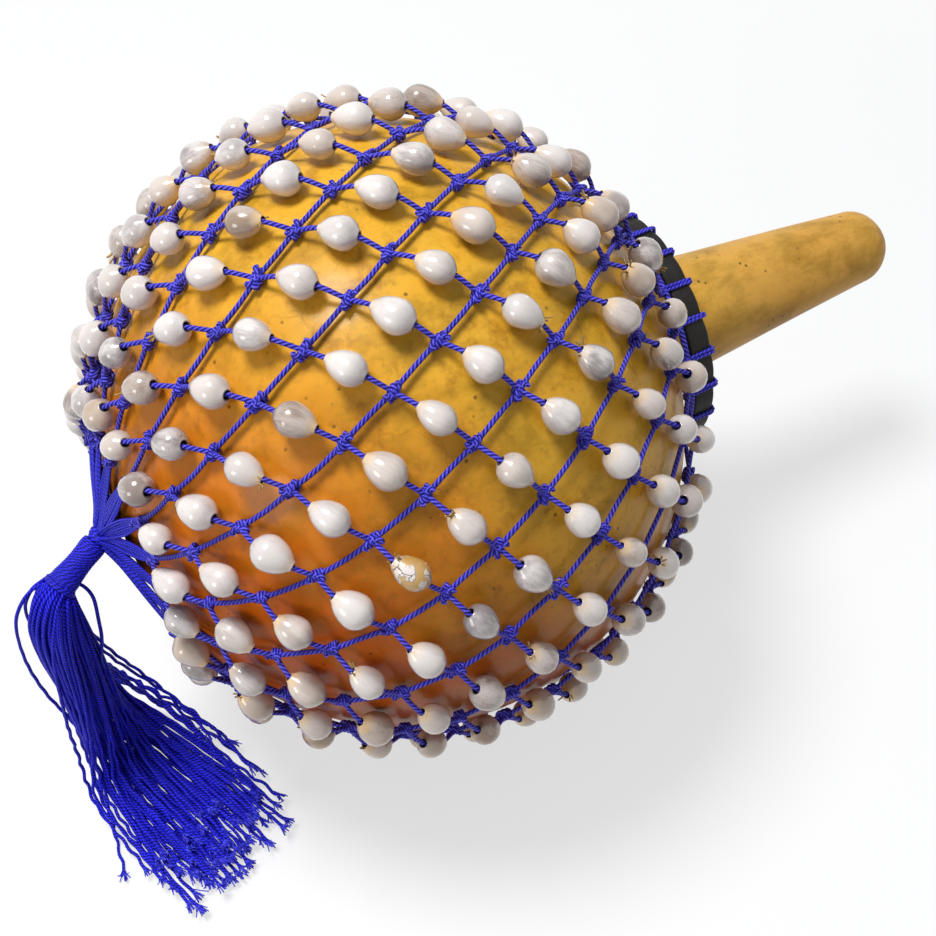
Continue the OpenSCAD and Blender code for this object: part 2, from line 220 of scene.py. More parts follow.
class Paint(Tree):
    """Builds the node tree of one material."""

    def __init__(self, name: str) -> None:
        """Makes an empty material with its shader and its output."""
        self.material = bpy.data.materials.new(name)
        self.material.use_nodes = True
        super().__init__(self.material.node_tree)
        self.tree.nodes.clear()
        self.shader = self.add("ShaderNodeBsdfPrincipled")
        self.output = self.add("ShaderNodeOutputMaterial", {}, {"Surface": self.shader.outputs[0]})
        self.place = self.add("ShaderNodeTexCoord").outputs["Object"]

    def attribute(self, name: str) -> Value:
        """A number that the mesh carries."""
        return Value(self, self.add("ShaderNodeAttribute", {"attribute_name": name}).outputs["Fac"])

    def carried(self, name: str) -> Any:
        """A vector that the mesh carries."""
        return self.add("ShaderNodeAttribute", {"attribute_name": name}).outputs["Vector"]

    def parts(self, vector: Any) -> tuple[Value, Value, Value]:
        """The three numbers of a vector."""
        node = self.add("ShaderNodeSeparateXYZ", {}, {0: vector})
        return tuple(Value(self, out) for out in node.outputs)

    def stretched(self, vector: Any, scale: Sequence[float], offset: Any = (0.0, 0.0, 0.0)) -> Any:
        """A vector times a scale, plus an offset."""
        sockets = {0: vector, 1: scale, 2: offset}
        return self.add("ShaderNodeVectorMath", {"operation": "MULTIPLY_ADD"}, sockets).outputs[0]

    def noise(self, vector: Any, scale: float, detail: float = 3.0, rough: float = 0.5,
              warp: float = 0.0) -> Value:
        """Soft noise from 0 to 1.

        Args:
            vector: where it is read.
            scale: how many features there are in a unit of length.
            detail: how many finer layers it has.
            rough: how strong these are.
            warp: how much the pattern is pulled about.
        Returns:
            The noise as a value.
        """
        sockets = {"Vector": vector, "Scale": scale, "Detail": detail, "Roughness": rough, "Distortion": warp}
        return Value(self, self.add("ShaderNodeTexNoise", {}, sockets).outputs["Fac"])

    def pulled(self, vector: Any, scale: float, detail: float, much: float) -> Any:
        """A vector that soft noise has moved about."""
        noise = self.add("ShaderNodeTexNoise", {}, {"Vector": vector, "Scale": scale, "Detail": detail})
        return self.stretched(noise.outputs["Color"], (much, much, much), vector)

    def cells(self, vector: Any, scale: float, feature: str) -> Value:
        """The distance to the middle (F1) or the edge (DISTANCE_TO_EDGE) of the nearest of many cells."""
        node = self.add("ShaderNodeTexVoronoi", {"feature": feature}, {"Vector": vector, "Scale": scale})
        return Value(self, node.outputs["Distance"])

    def mix(self, factor: Any, first: Any, second: Any) -> Any:
        """The socket of two colours mixed, where the factor says how much of the second shows."""
        return self.add("ShaderNodeMix", {"data_type": "RGBA"}, {0: factor, 6: first, 7: second}).outputs[2]

    def finish(self, colour: Any, roughness: Any, height: Optional[Value] = None, depth: float = 0.0,
               **uniform: Any) -> bpy.types.Material:
        """Feeds the shader.

        Args:
            colour: the base colour.
            roughness: the roughness.
            height: the relief, from 0 to 1.
            depth: the depth of the relief in metres.
            uniform: other inputs that are the same all over, with their names' spaces as underscores.
        Returns:
            The finished material.
        """
        ends = {"Base Color": colour, "Roughness": roughness}
        ends.update({name.replace("_", " "): value for name, value in uniform.items()})
        if height is not None:
            bump = self.add("ShaderNodeBump", {}, {"Strength": 1.0, "Distance": depth, "Height": height})
            ends["Normal"] = bump.outputs[0]
        self.feed(self.shader, ends)
        return self.material


@dataclass(frozen=True)
class GourdRind:
    """Polished rind with olive and brown mottling, dark specks and fine scratches.

    It is gold above and orange at the closed end. Low in front it is red brown, and dark brown by the collar,
    partly the rind's own colour and partly painted shade, darker towards the bottom. Each span says between
    which places, in metres in the row frame, one colour gives way to another, and lean says how much nearer
    the front counts as lower.
    """

    gold: Colour = painted(230, 176, 54)
    amber: Colour = painted(208, 98, 12)
    russet: Colour = painted(154, 52, 10)
    # dark brown low by the collar: partly the rind's colour, partly painted shade
    umber_and_shade: Colour = painted(106, 70, 16)
    tan: Colour = painted(220, 168, 76)
    olive: Colour = painted(134, 104, 18)
    brown: Colour = painted(132, 76, 20)
    speck: Colour = painted(70, 44, 16)
    lean: float = 0.55
    closed_end: Span = (-0.046, -0.104)
    # where the red brown and the painted shade come in, low on the front
    low_shade_span: Span = (0.076, 0.024)
    collar_side: Span = (0.005, 0.06)
    neck: Span = (0.035, 0.07)
    relief: float = 0.12

    def material(self) -> bpy.types.Material:
        """The finished material."""
        p = Paint("gourd_rind")
        x, y, z = p.parts(p.place)
        drift = p.noise(p.place, 22.0, 4.0, 0.55)
        blotch = p.noise(p.stretched(p.place, (1.0, 1.6, 1.6)), 62.0, 6.0, 0.62, 0.15)
        mottle = p.noise(p.stretched(p.place, (1.3, 1.0, 1.0), (0.7, 0.2, 0.4)), 130.0, 6.0, 0.66, 0.2)
        fine = p.noise(p.place, 520.0, 5.0, 0.65)
        along = (x + y * self.lean + (drift - 0.5) * 0.06).within(*self.closed_end)
        # low on the front: partly the rind's own red brown, partly painted shade that is darker towards the
        # bottom
        low = (z + y * self.lean + (drift - 0.5) * 0.07).within(*self.low_shade_span)
        handle = (x + (drift - 0.5) * 0.02).within(*self.neck)
        low_colour_and_shade = p.mix(x.within(*self.collar_side), self.russet, self.umber_and_shade)
        colour = p.mix(along, self.gold, self.amber)
        # red brown and dark brown with painted shade, low on the front
        colour = p.mix(low * 0.92, colour, low_colour_and_shade)
        colour = p.mix(handle, colour, self.tan)
        colour = p.mix(blotch.within(0.44, 0.68) * (0.32 + (1 - along) * 0.24), colour, self.olive)
        colour = p.mix(mottle.within(0.5, 0.72) * (0.5 - handle * 0.28), colour, self.brown)
        colour = p.mix(drift.within(0.4, 0.75) * 0.18, colour, self.amber)
        rare = p.noise(p.place, 95.0, 3.0).within(0.53, 0.62)
        marks = p.cells(p.place, 330.0, "F1").within(0.2, 0.06) * rare
        veins = p.cells(p.pulled(p.place, 60.0, 4.0, 0.02), 75.0, "DISTANCE_TO_EDGE")
        scratch = veins.within(0.03, 0.0) * p.noise(p.place, 40.0, 2.0).within(0.55, 0.68)
        colour = p.mix(marks * 0.75, colour, self.speck)
        colour = p.mix(scratch * 0.25, colour, self.brown)
        colour = p.mix(fine.within(0.5, 0.75) * (0.3 - handle * 0.18), colour, self.olive)
        rough = 0.25 + blotch * 0.14 + mottle * 0.06 + handle * 0.12
        relief = blotch * 0.6 + fine * 0.25 + (1 - marks) * 0.3 + (1 - scratch) * 0.15
        return p.finish(colour, rough, relief, self.relief * MM, Coat_Weight=0.08, Coat_Roughness=0.1,
                        Specular_IOR_Level=0.14)


@dataclass(frozen=True)
class BlueCord:
    """Blue twisted cord: painted highlights on its winding plies, painted shade in the grooves, and fine
    fibres.
    """

    name: str = "blue_cord"
    plies: int = 3
    pitch: float = 3.5
    # painted highlight on the crests of the plies
    crest_highlight: Colour = painted(134, 128, 244)
    body: Colour = painted(46, 40, 216)
    # painted shade in the grooves between the plies; it also darkens random patches of the cord
    deep: Colour = painted(17, 12, 108)
    relief: float = 0.22
    gloss: float = 0.32

    def material(self) -> bpy.types.Material:
        """The finished material."""
        p = Paint(self.name)
        u, v, _ = p.parts(p.carried("round"))
        twist = p.attribute("run") * (math.tau * self.plies / self.pitch)
        wind = v.math("ARCTAN2", u) * float(self.plies) + twist
        ply = (wind.math("COSINE") * 0.5 + 0.5).math("POWER", 0.6)
        hairs = p.noise(p.place, 2400.0, 3.0, 0.6, 1.2)
        patch = p.noise(p.place, 150.0, 2.0)
        # painted shade: the grooves between the plies take the deep colour
        colour = p.mix(ply.within(0.1, 0.75), self.deep, self.body)
        # painted highlight: the crests of the plies take the highlight colour
        colour = p.mix(ply.within(0.6, 1.0) * (hairs.within(0.3, 0.75) * 0.6 + 0.25), colour, self.crest_highlight)
        colour = p.mix(patch.within(0.35, 0.7) * 0.22, colour, self.deep)
        return p.finish(colour, 0.44 + hairs * 0.2, ply + hairs * 0.25, self.relief * MM,
                        Specular_IOR_Level=self.gloss, Sheen_Weight=0.05, Sheen_Roughness=0.4,
                        Sheen_Tint=painted(150, 145, 255))


# The cords' finishes: of their three colours, the first is a painted highlight, the second the body colour
# and the third a painted groove shade.
CORD = BlueCord()
STRAP = BlueCord("blue_strap", 2, 2.2, painted(112, 106, 246), painted(42, 36, 214), painted(18, 12, 112),
                 0.1)
THREAD = BlueCord("blue_thread", 2, 2.4, painted(72, 74, 248), painted(16, 15, 208), painted(6, 4, 106),
                  0.07, 0.26)
STRAND = BlueCord("blue_strand", 2, 2.0, painted(64, 66, 250), painted(10, 10, 222), painted(3, 2, 108),
                  0.09, 0.2)
FIBRE = BlueCord("blue_fibre", 1, 2.0, painted(112, 118, 250), painted(56, 58, 234), painted(26, 22, 168),
                 0.02, 0.2)


@dataclass(frozen=True)
class SeedSkin:
    """Glossy seed: white to grey with streaks along it, cream at the pointed end, painted shade darkening the
    hole.

    Each seed carries how grey (tint) and how brown it is, the brown with painted warm shade added on the low
    seeds in front, and whether its skin is cracked.
    """

    white: Colour = painted(232, 225, 221)
    grey: Colour = painted(150, 143, 146)
    smoke: Colour = painted(98, 86, 82)
    brown: Colour = painted(172, 136, 92)
    cream: Colour = painted(228, 192, 140)
    # painted shade inside the hole
    hole: Colour = painted(52, 36, 28)
    crust: Colour = painted(198, 158, 92)
    crack: Colour = painted(92, 62, 30)
    relief: float = 0.04

    def material(self) -> bpy.types.Material:
        """The finished material."""
        p = Paint("seed_skin")
        local, tint, warm = p.carried("local"), p.attribute("tint"), p.attribute("warm")
        away = p.add("ShaderNodeCombineXYZ", {}, {0: tint * 31.0, 1: tint * 17.0, 2: warm * 23.0}).outputs[0]
        along, _, _ = p.parts(local)
        cloud = p.noise(p.stretched(local, (0.4, 0.9, 0.9), away), 1.0, 2.0, 0.45)
        streak = p.noise(p.stretched(local, (0.35, 5.0, 5.0), away), 1.5, 4.0, 0.62, 0.3)
        veil = (cloud.within(0.35, 0.75) * 0.5 + streak.within(0.4, 0.8) * 0.3) * (0.25 + tint * 1.2)
        veil = veil + tint.within(0.45, 1.0) * 0.5 + along.within(0.0, -1.0) * 0.22
        patch = (cloud + (streak - 0.5) * 0.3).within(0.44, 0.64) * tint.within(0.3, 0.8)
        point = (along + (streak - 0.5) * 0.3).within(0.5, 0.92) * (0.35 + warm * 0.9).least(0.9)
        colour = p.mix(veil.least(0.95), self.white, self.grey)
        colour = p.mix(patch * 0.5, colour, self.smoke)
        # brown: each seed's own brown tone, plus painted warm shade on the low seeds in front
        colour = p.mix((warm * (0.4 + cloud * 0.6)).least(0.95), colour, self.brown)
        colour = p.mix(point, colour, self.cream)
        broken, chipped = p.attribute("cracked"), p.noise(local, 1.3, 3.0).within(0.46, 0.53)
        line = p.cells(p.pulled(local, 1.6, 2.0, 0.9), 1.25, "DISTANCE_TO_EDGE").within(0.045, 0.0) * chipped
        colour = p.mix(broken * (1 - chipped), colour, self.crust)
        colour = p.mix(broken * line * 0.85, colour, self.crack)
        # painted shade: the inside of each hole takes the dark hole colour
        colour = p.mix(p.attribute("inside"), colour, self.hole)
        relief = streak * 0.4 + cloud * 0.4 - broken * line * 4.0 + broken * chipped * 3.0
        return p.finish(colour, 0.17 + streak * 0.1 + broken * 0.2, relief, self.relief * MM,
                        Coat_Weight=0.7, Coat_Roughness=0.05)


@dataclass(frozen=True)
class BlackRubber:
    """Black hoop with a faint brown cast and worn grain."""

    black: Colour = painted(14, 13, 12)
    worn: Colour = painted(46, 41, 36)
    relief: float = 0.18

    def material(self) -> bpy.types.Material:
        """The finished material."""
        p = Paint("black_rubber")
        grain = p.noise(p.place, 900.0, 5.0, 0.65)
        patch = p.noise(p.place, 160.0, 4.0, 0.6)
        colour = p.mix(patch.within(0.45, 0.8) * 0.5 + grain * 0.12, self.black, self.worn)
        return p.finish(colour, 0.45 + grain * 0.25, grain, self.relief * MM, Specular_IOR_Level=0.25)


@dataclass(frozen=True)
class StrawHusk:
    """Dry straw-coloured fibre left at the pointed end of a seed."""

    straw: Colour = painted(196, 162, 96)
    dry: Colour = painted(132, 98, 52)
    relief: float = 0.05

    def material(self) -> bpy.types.Material:
        """The finished material."""
        p = Paint("straw_husk")
        mix = p.noise(p.place, 1500.0, 3.0)
        return p.finish(p.mix(mix, self.dry, self.straw), 0.6 + mix * 0.2, mix, self.relief * MM)


class Section(Enum):
    """A cord's section: how many sides it has."""

    CORD = 10
    THREAD = 8
    STRAND = 6
    HAIR = 4


def run_tree(tree: bpy.types.NodeTree, carrier: Piece, inputs: dict[str, Any], name: str) -> Piece:
    """Runs a tree of Geometry Nodes on a mesh and keeps what comes out as a plain mesh.

    Args:
        tree: the tree.
        carrier: the object whose mesh goes in, which is deleted.
        inputs: the tree's inputs by name.
        name: the new object's name.
    Returns:
        The new object.
    """
    modifier = carrier.modifiers.new("build", "NODES")
    modifier.node_group = tree
    sockets = {s.name: s.identifier for s in tree.interface.items_tree if s.in_out == "INPUT"}
    for key, value in inputs.items():
        modifier[sockets[key]] = value
    bpy.context.view_layer.update()
    graph = bpy.context.evaluated_depsgraph_get()
    seen = carrier.evaluated_get(graph)
    mesh = bpy.data.meshes.new_from_object(seen, preserve_all_data_layers=True, depsgraph=graph)
    mesh.name = name
    made = bpy.data.objects.new(name, mesh)
    bpy.context.scene.collection.objects.link(made)
    spent = carrier.data
    bpy.data.objects.remove(carrier)
    bpy.data.meshes.remove(spent)
    return made


def new_tree(name: str, inputs: dict[str, str]) -> tuple[Tree, bpy.types.Node]:
    """Makes an empty tree of Geometry Nodes with named inputs.

    Args:
        name: the tree's name.
        inputs: the kind of each input, by name.
    Returns:
        The tree and its Group Input node.
    """
    group = bpy.data.node_groups.new(name, "GeometryNodeTree")
    for way in ("INPUT", "OUTPUT"):
        group.interface.new_socket("Geometry", in_out=way, socket_type="NodeSocketGeometry")
    for key, kind in {**inputs, "Material": "Material"}.items():
        group.interface.new_socket(key, in_out="INPUT", socket_type="NodeSocket" + kind)
    tree = Tree(group)
    return tree, tree.add("NodeGroupInput")


def read(tree: Tree, name: str, kind: str = "FLOAT") -> Any:
    """The socket of what each point of the mesh carries under a name."""
    return tree.add("GeometryNodeInputNamedAttribute", {"data_type": kind}, {"Name": name}).outputs[0]


def end_tree(tree: Tree, given: bpy.types.Node, shape: bpy.types.Node) -> bpy.types.NodeTree:
    """Ends a tree with plain smooth geometry in the material that was given."""
    whole = tree.add("GeometryNodeRealizeInstances", {}, {0: shape.outputs[0]})
    smooth = tree.add("GeometryNodeSetShadeSmooth", {}, {0: whole.outputs[0]})
    sockets = {"Geometry": smooth.outputs[0], "Material": given.outputs["Material"]}
    tree.add("NodeGroupOutput", {}, {0: tree.add("GeometryNodeSetMaterial", {}, sockets).outputs[0]})
    return tree.tree


def cord_tree() -> bpy.types.NodeTree:
    """A tree that lays cord along a mesh's edges, and says on each point how far along and round it is."""
    t, given = new_tree("cord", {"Radius": "Float", "Step": "Float", "Sides": "Int"})
    curve = t.add("GeometryNodeMeshToCurve", {}, {0: given.outputs["Geometry"]})
    sockets = {"Curve": curve.outputs[0], "Length": given.outputs["Step"]}
    cut = t.add("GeometryNodeResampleCurve", {"mode": "LENGTH"}, sockets)
    run = Value(t, t.add("GeometryNodeSplineParameter").outputs["Length"]) / MM + Value(t, read(t, "phase"))
    sockets = {"Geometry": cut.outputs[0], "Name": "run", "Value": run}
    ran = t.add("GeometryNodeStoreNamedAttribute", {"data_type": "FLOAT"}, sockets)
    sized = t.add("GeometryNodeSetCurveRadius", {}, {"Curve": ran.outputs[0], "Radius": read(t, "thick")})
    sockets = {"Resolution": given.outputs["Sides"], "Radius": given.outputs["Radius"]}
    ring = t.add("GeometryNodeCurvePrimitiveCircle", {"mode": "RADIUS"}, sockets)
    where = t.add("GeometryNodeInputPosition").outputs[0]
    there = t.add("ShaderNodeVectorMath", {"operation": "NORMALIZE"}, {0: where})
    sockets = {"Geometry": ring.outputs[0], "Name": "round", "Value": there.outputs[0]}
    marked = t.add("GeometryNodeStoreNamedAttribute", {"data_type": "FLOAT_VECTOR"}, sockets)
    sockets = {"Curve": sized.outputs[0], "Profile Curve": marked.outputs[0], "Fill Caps": True}
    return end_tree(t, given, t.add("GeometryNodeCurveToMesh", {}, sockets))


def scatter_tree() -> bpy.types.NodeTree:
    """A tree that puts a copy of an object on every point, turned and sized as the point says."""
    t, given = new_tree("set_out", {"Piece": "Object"})
    settings = {"transform_space": "ORIGINAL"}
    piece = t.add("GeometryNodeObjectInfo", settings, {"Object": given.outputs["Piece"]})
    turned = t.add("FunctionNodeEulerToRotation", {}, {0: read(t, "turn", "FLOAT_VECTOR")})
    points = t.add("GeometryNodeMeshToPoints", {}, {0: given.outputs["Geometry"]})
    sockets = {"Points": points.outputs[0], "Instance": piece.outputs["Geometry"],
               "Rotation": turned.outputs[0], "Scale": read(t, "size", "FLOAT_VECTOR")}
    return end_tree(t, given, t.add("GeometryNodeInstanceOnPoints", {}, sockets))


def carry(mesh: bpy.types.Mesh, name: str, values: Sequence[Any]) -> None:
    """Gives each vertex of a mesh a number or a vector under a name."""
    flat = np.asarray(values, float)
    kind, key = ("FLOAT_VECTOR", "vector") if flat.ndim == 2 else ("FLOAT", "value")
    mesh.attributes.new(name, kind, "POINT").data.foreach_set(key, flat.ravel())


def mesh_object(name: str, points: Sequence[Point], edges: Sequence = (), faces: Sequence = ()) -> Piece:
    """Makes an object from lists of points in metres, edges and faces."""
    mesh = bpy.data.meshes.new(name)
    mesh.from_pydata([tuple(map(float, p)) for p in points], edges, faces)
    made = bpy.data.objects.new(name, mesh)
    bpy.context.scene.collection.objects.link(made)
    return made


@dataclass
class Body:
    """The gourd's axes, and where they stand in the row frame."""

    centre: Point
    axis: Point

    def turned(self, v: Point) -> Point:
        """A direction of the gourd's axes, in the row frame."""
        up = np.cross(self.axis, [0.0, 1.0, 0.0])
        return v[0] * self.axis + np.array([0.0, v[1], 0.0]) + v[2] * up

    def place(self, p: Point) -> Point:
        """A point of the gourd's axes in millimetres, as a point of the row frame in metres."""
        return self.centre + self.turned(p) * MM

    def laid(self, points: Sequence[Point], steps: int, closed: bool = False) -> list[Point]:
        """A smooth curve through points of the gourd's axes, in metres in the row frame."""
        return [self.place(p) for p in curved(points, steps, closed)]


@dataclass
class Lattice:
    """Where the knots and beads of the net lie over the bulb, in the gourd's axes.

    Both angles of a knot are sums of powers of its row, counted from the middle row, and of slow waves round
    the bulb. They were fitted to the knots in the photograph. All their numbers are in degrees.
    """

    columns: int = 20
    last_row: int = 12
    middle_row: float = 7.5
    even_row: int = 5
    bulb_r: float = 73.5
    bottom_half: float = 68.0
    bulb_half: float = 71.0
    knot_lift: float = 2.0
    bead_lift: float = 4.1
    bead_len: float = 9.0
    bead_d: float = 7.6
    down: tuple = (100.3, 9.37, 0.0206)
    first: float = 48.5
    shear: tuple = (3.01, -0.256, -0.0083)
    dips: tuple = ((6.7, 1, 151.3), (5.4, 2, 200))
    swing: Span = (8, 277.6)
    sizes: tuple = (1, 0.94, 0.98, 0.9, 0.97, 0.92, 1, 0.95)
    pointed: tuple = (0, 0, 1, 0, 0, 0, 0, 1, 0, 0, 1)

    def cells(self, rows: int) -> list[tuple[int, int]]:
        """The row and the column of each place in the first rows."""
        return [(i, c) for i in range(rows) for c in range(self.columns)]

    def angles(self, i: int, c: int) -> Point:
        """Both angles of a knot in degrees: from the closed end, and round the axis from the top."""
        x, step = i - self.middle_row, 360 / self.columns
        a = self.down[0] + self.down[1] * x + self.down[2] * x ** 3
        t = self.first - step * c - step / 2 * (i - self.even_row)
        t += self.shear[0] * x + self.shear[1] * x * x + self.shear[2] * x ** 3
        w = math.sin(math.radians(a))
        dip = sum(much * math.cos(math.radians(times * (t - at))) for much, times, at in self.dips)
        much, at = self.swing
        return np.array([a + w * dip, t + w * much * math.cos(math.radians(t - at))])

    def over(self, angles: Point, lift: float) -> Point:
        """A point over the bulb at two angles and a height."""
        a, t = np.radians(angles)
        half = self.bottom_half if math.cos(a) > 0 else self.bulb_half
        return polar(-(half + lift) * math.cos(a), (self.bulb_r + lift) * math.sin(a), t)

    def knot(self, i: int, c: int) -> Point:
        """The middle of a knot."""
        return self.over(self.angles(i, c), self.knot_lift)

    def bead(self, i: int, c: int) -> Point:
        """The middle of a bead, between knot c of its row and knot c - 1 of the next."""
        return self.over((self.angles(i, c) + self.angles(i + 1, c - 1)) / 2, self.bead_lift)

    def bead_way(self, i: int, c: int) -> Point:
        """The direction of a bead's hole."""
        return unit(self.knot(i + 1, c - 1) - self.knot(i, c))

    def size(self, i: int, c: int) -> float:
        """A bead's size as a share of the largest."""
        return self.sizes[(7 * i + 3 * c) % len(self.sizes)]

    def point_way(self, i: int, c: int) -> Point:
        """The direction of a bead's pointed end: towards the neck for some, and away from it for most."""
        return self.bead_way(i, c) * (1 if self.pointed[(5 * i + 3 * c) % len(self.pointed)] else -1)


@dataclass
class Shop:
    """What the pieces are made with: the axes, the lattice, the trees and the materials."""

    body: Body
    net: Lattice = field(default_factory=Lattice)
    made: dict = field(default_factory=dict)

    def once(self, make: Callable) -> Any:
        """What a function makes, made the first time that it is asked for."""
        if make not in self.made:
            self.made[make] = make()
        return self.made[make]

    def hand_over(self, piece: Piece, body: str, slot: str, *nodes: str) -> Piece:
        """Puts a piece on the body that it rides, and hides the solids that it is drawn in place of."""
        if nodes:
            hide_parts(*nodes)
        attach(piece, body)
        return piece

    def skin(self, name: str, points: Sequence[Point], faces: Sequence, finish: Any) -> Piece:
        """Makes a smooth piece from points in metres and faces."""
        piece = mesh_object(name, points, (), faces)
        piece.data.polygons.foreach_set("use_smooth", [True] * len(faces))
        piece.data.materials.append(self.once(finish.material))
        return piece

    def lay_cord(self, name: str, paths: Sequence[Sequence[Point]], diameter: float, step: float, finish: Any,
                 section: Section = Section.CORD, tapers: Sequence[Span] = (), seed: int = 1) -> Piece:
        """Lays cord along paths that are given in metres in the row frame.

        Args:
            name: the piece's name.
            paths: the points of each cord.
            diameter: the cord's thickness in millimetres.
            step: the length of one piece of its mesh in millimetres.
            finish: the cord's finish.
            section: the cord's section.
            tapers: for each path, its thickness at its first and its last point as shares of the diameter.
            seed: fixes what is random.
        Returns:
            The finished object.
        """
        dice = np.random.default_rng(seed)
        points, edges, phase, girth = [], [], [], []
        for k, path in enumerate(paths):
            first, start = len(points), dice.uniform(0, 9)
            points.extend(path)
            edges.extend((first + j, first + j + 1) for j in range(len(path) - 1))
            phase.extend([start] * len(path))
            girth.extend(np.linspace(*(tapers[k] if tapers else (1.0, 1.0)), len(path)))
        carrier = mesh_object(name + "_route", points, edges)
        carry(carrier.data, "phase", phase)
        carry(carrier.data, "thick", girth)
        inputs = {"Radius": diameter / 2 * MM, "Step": step * MM, "Sides": section.value,
                  "Material": self.once(finish.material)}
        return run_tree(self.once(cord_tree), carrier, inputs, name)

    def set_out(self, name: str, piece: Piece, places: Sequence[tuple], finish: Any,
                **carried: Sequence[float]) -> Piece:
        """Puts copies of a piece in many places.

        Args:
            name: the new piece's name.
            piece: what is copied.
            places: for each copy its point in metres, its Euler angles and its scale along its three axes.
            finish: the copies' finish.
            carried: numbers that each copy carries, by name.
        Returns:
            The finished object.
        """
        points, turns, sizes = zip(*places)
        carrier = mesh_object(name + "_points", points)
        for key, values in {"turn": turns, "size": sizes, **carried}.items():
            carry(carrier.data, key, values)
        inputs = {"Piece": piece, "Material": self.once(finish.material)}
        return run_tree(self.once(scatter_tree), carrier, inputs, name)

    def turn_to(self, along: Point, up: Point) -> tuple[float, float, float]:
        """The Euler angles that turn X along one direction with Z near another, both in the gourd's axes."""
        x = unit(self.body.turned(along))
        z = self.body.turned(up)
        z = unit(z - x * (z @ x))
        y = np.cross(z, x)
        return tuple(Matrix((x, y, z)).transposed().to_euler())


@dataclass
class Gourd:
    """The dried gourd: a near-round bulb, a tight shoulder and a long handle with a round tip."""

    shop: Shop
    shoulder_r: float = 24.0
    neck_r: float = 15.4
    neck_blend: float = 14.0
    handle_r: float = 10.0
    reach: float = 147.0
    tip_len: float = 9.0
    dent: float = 0.22
    around: int = 168
    bulb_steps: int = 110
    blend_steps: int = 16
    handle_steps: int = 36
    tip_steps: int = 14

    def outline(self) -> list[Point]:
        """Half outline from the closed end to the tip: radius and distance along the axis."""
        net = self.shop.net
        turn = math.pi - math.asin(self.shoulder_r / net.bulb_r)

        def on_bulb(a: float) -> Point:
            """A point of the bulb's outline."""
            half = net.bottom_half if math.cos(a) > 0 else net.bulb_half
            return np.array([net.bulb_r * math.sin(a), -half * math.cos(a)])

        a = on_bulb(turn)
        b = np.array([self.neck_r, a[1] + self.neck_blend])
        ahead = unit(np.array([net.bulb_r * math.cos(turn), net.bulb_half * math.sin(turn)]))
        hull = [a, a + ahead * self.neck_blend * 0.3, b - np.array([0, self.neck_blend * 0.5]), b]
        points = [on_bulb(turn * i / self.bulb_steps) for i in range(self.bulb_steps + 1)]
        for t in np.linspace(0, 1, self.blend_steps + 1)[1:]:
            s = 1 - t
            points.append(hull[0] * s ** 3 + 3 * hull[1] * t * s * s
                          + 3 * hull[2] * t * t * s + hull[3] * t ** 3)
        end = self.reach - self.tip_len
        for t in np.linspace(0, 1, self.handle_steps + 1)[1:-1]:
            r = self.neck_r + (self.handle_r - self.neck_r) * t
            points.append(np.array([r, b[1] + (end - b[1]) * t]))
        for u in np.linspace(0, math.pi / 2, self.tip_steps + 1):
            points.append(np.array([self.handle_r * math.cos(u), end + self.tip_len * math.sin(u)]))
        return points

    def build(self) -> Piece:
        """Makes the shell, with the slight unevenness of a grown thing."""
        rows, place, n = self.outline(), self.shop.body.place, self.around
        points = []
        for r, x in rows[1:-1]:
            for t in (math.tau * k / n for k in range(n)):
                uneven = 0.5 + 0.25 * math.sin(3 * t + x / 19) + 0.25 * math.sin(5 * t - x / 11 + 1)
                points.append(place(polar(x, r - min(self.dent, r * 0.02) * uneven, t)))
        faces = [(a, d, c, b) for a, b, c, d in ring_faces(len(rows) - 2, n)]
        low, high, last = len(points), len(points) + 1, (len(rows) - 3) * n
        points.extend(place(polar(rows[k][1], 0, 0)) for k in (0, -1))
        faces.extend((low, k, (k + 1) % n) for k in range(n))
        faces.extend((high, last + (k + 1) % n, last + k) for k in range(n))
        shell = self.shop.skin("gourd_shell", points, faces, GourdRind())
        return self.shop.hand_over(shell, "gourd", "gourd_shell", "gourd")


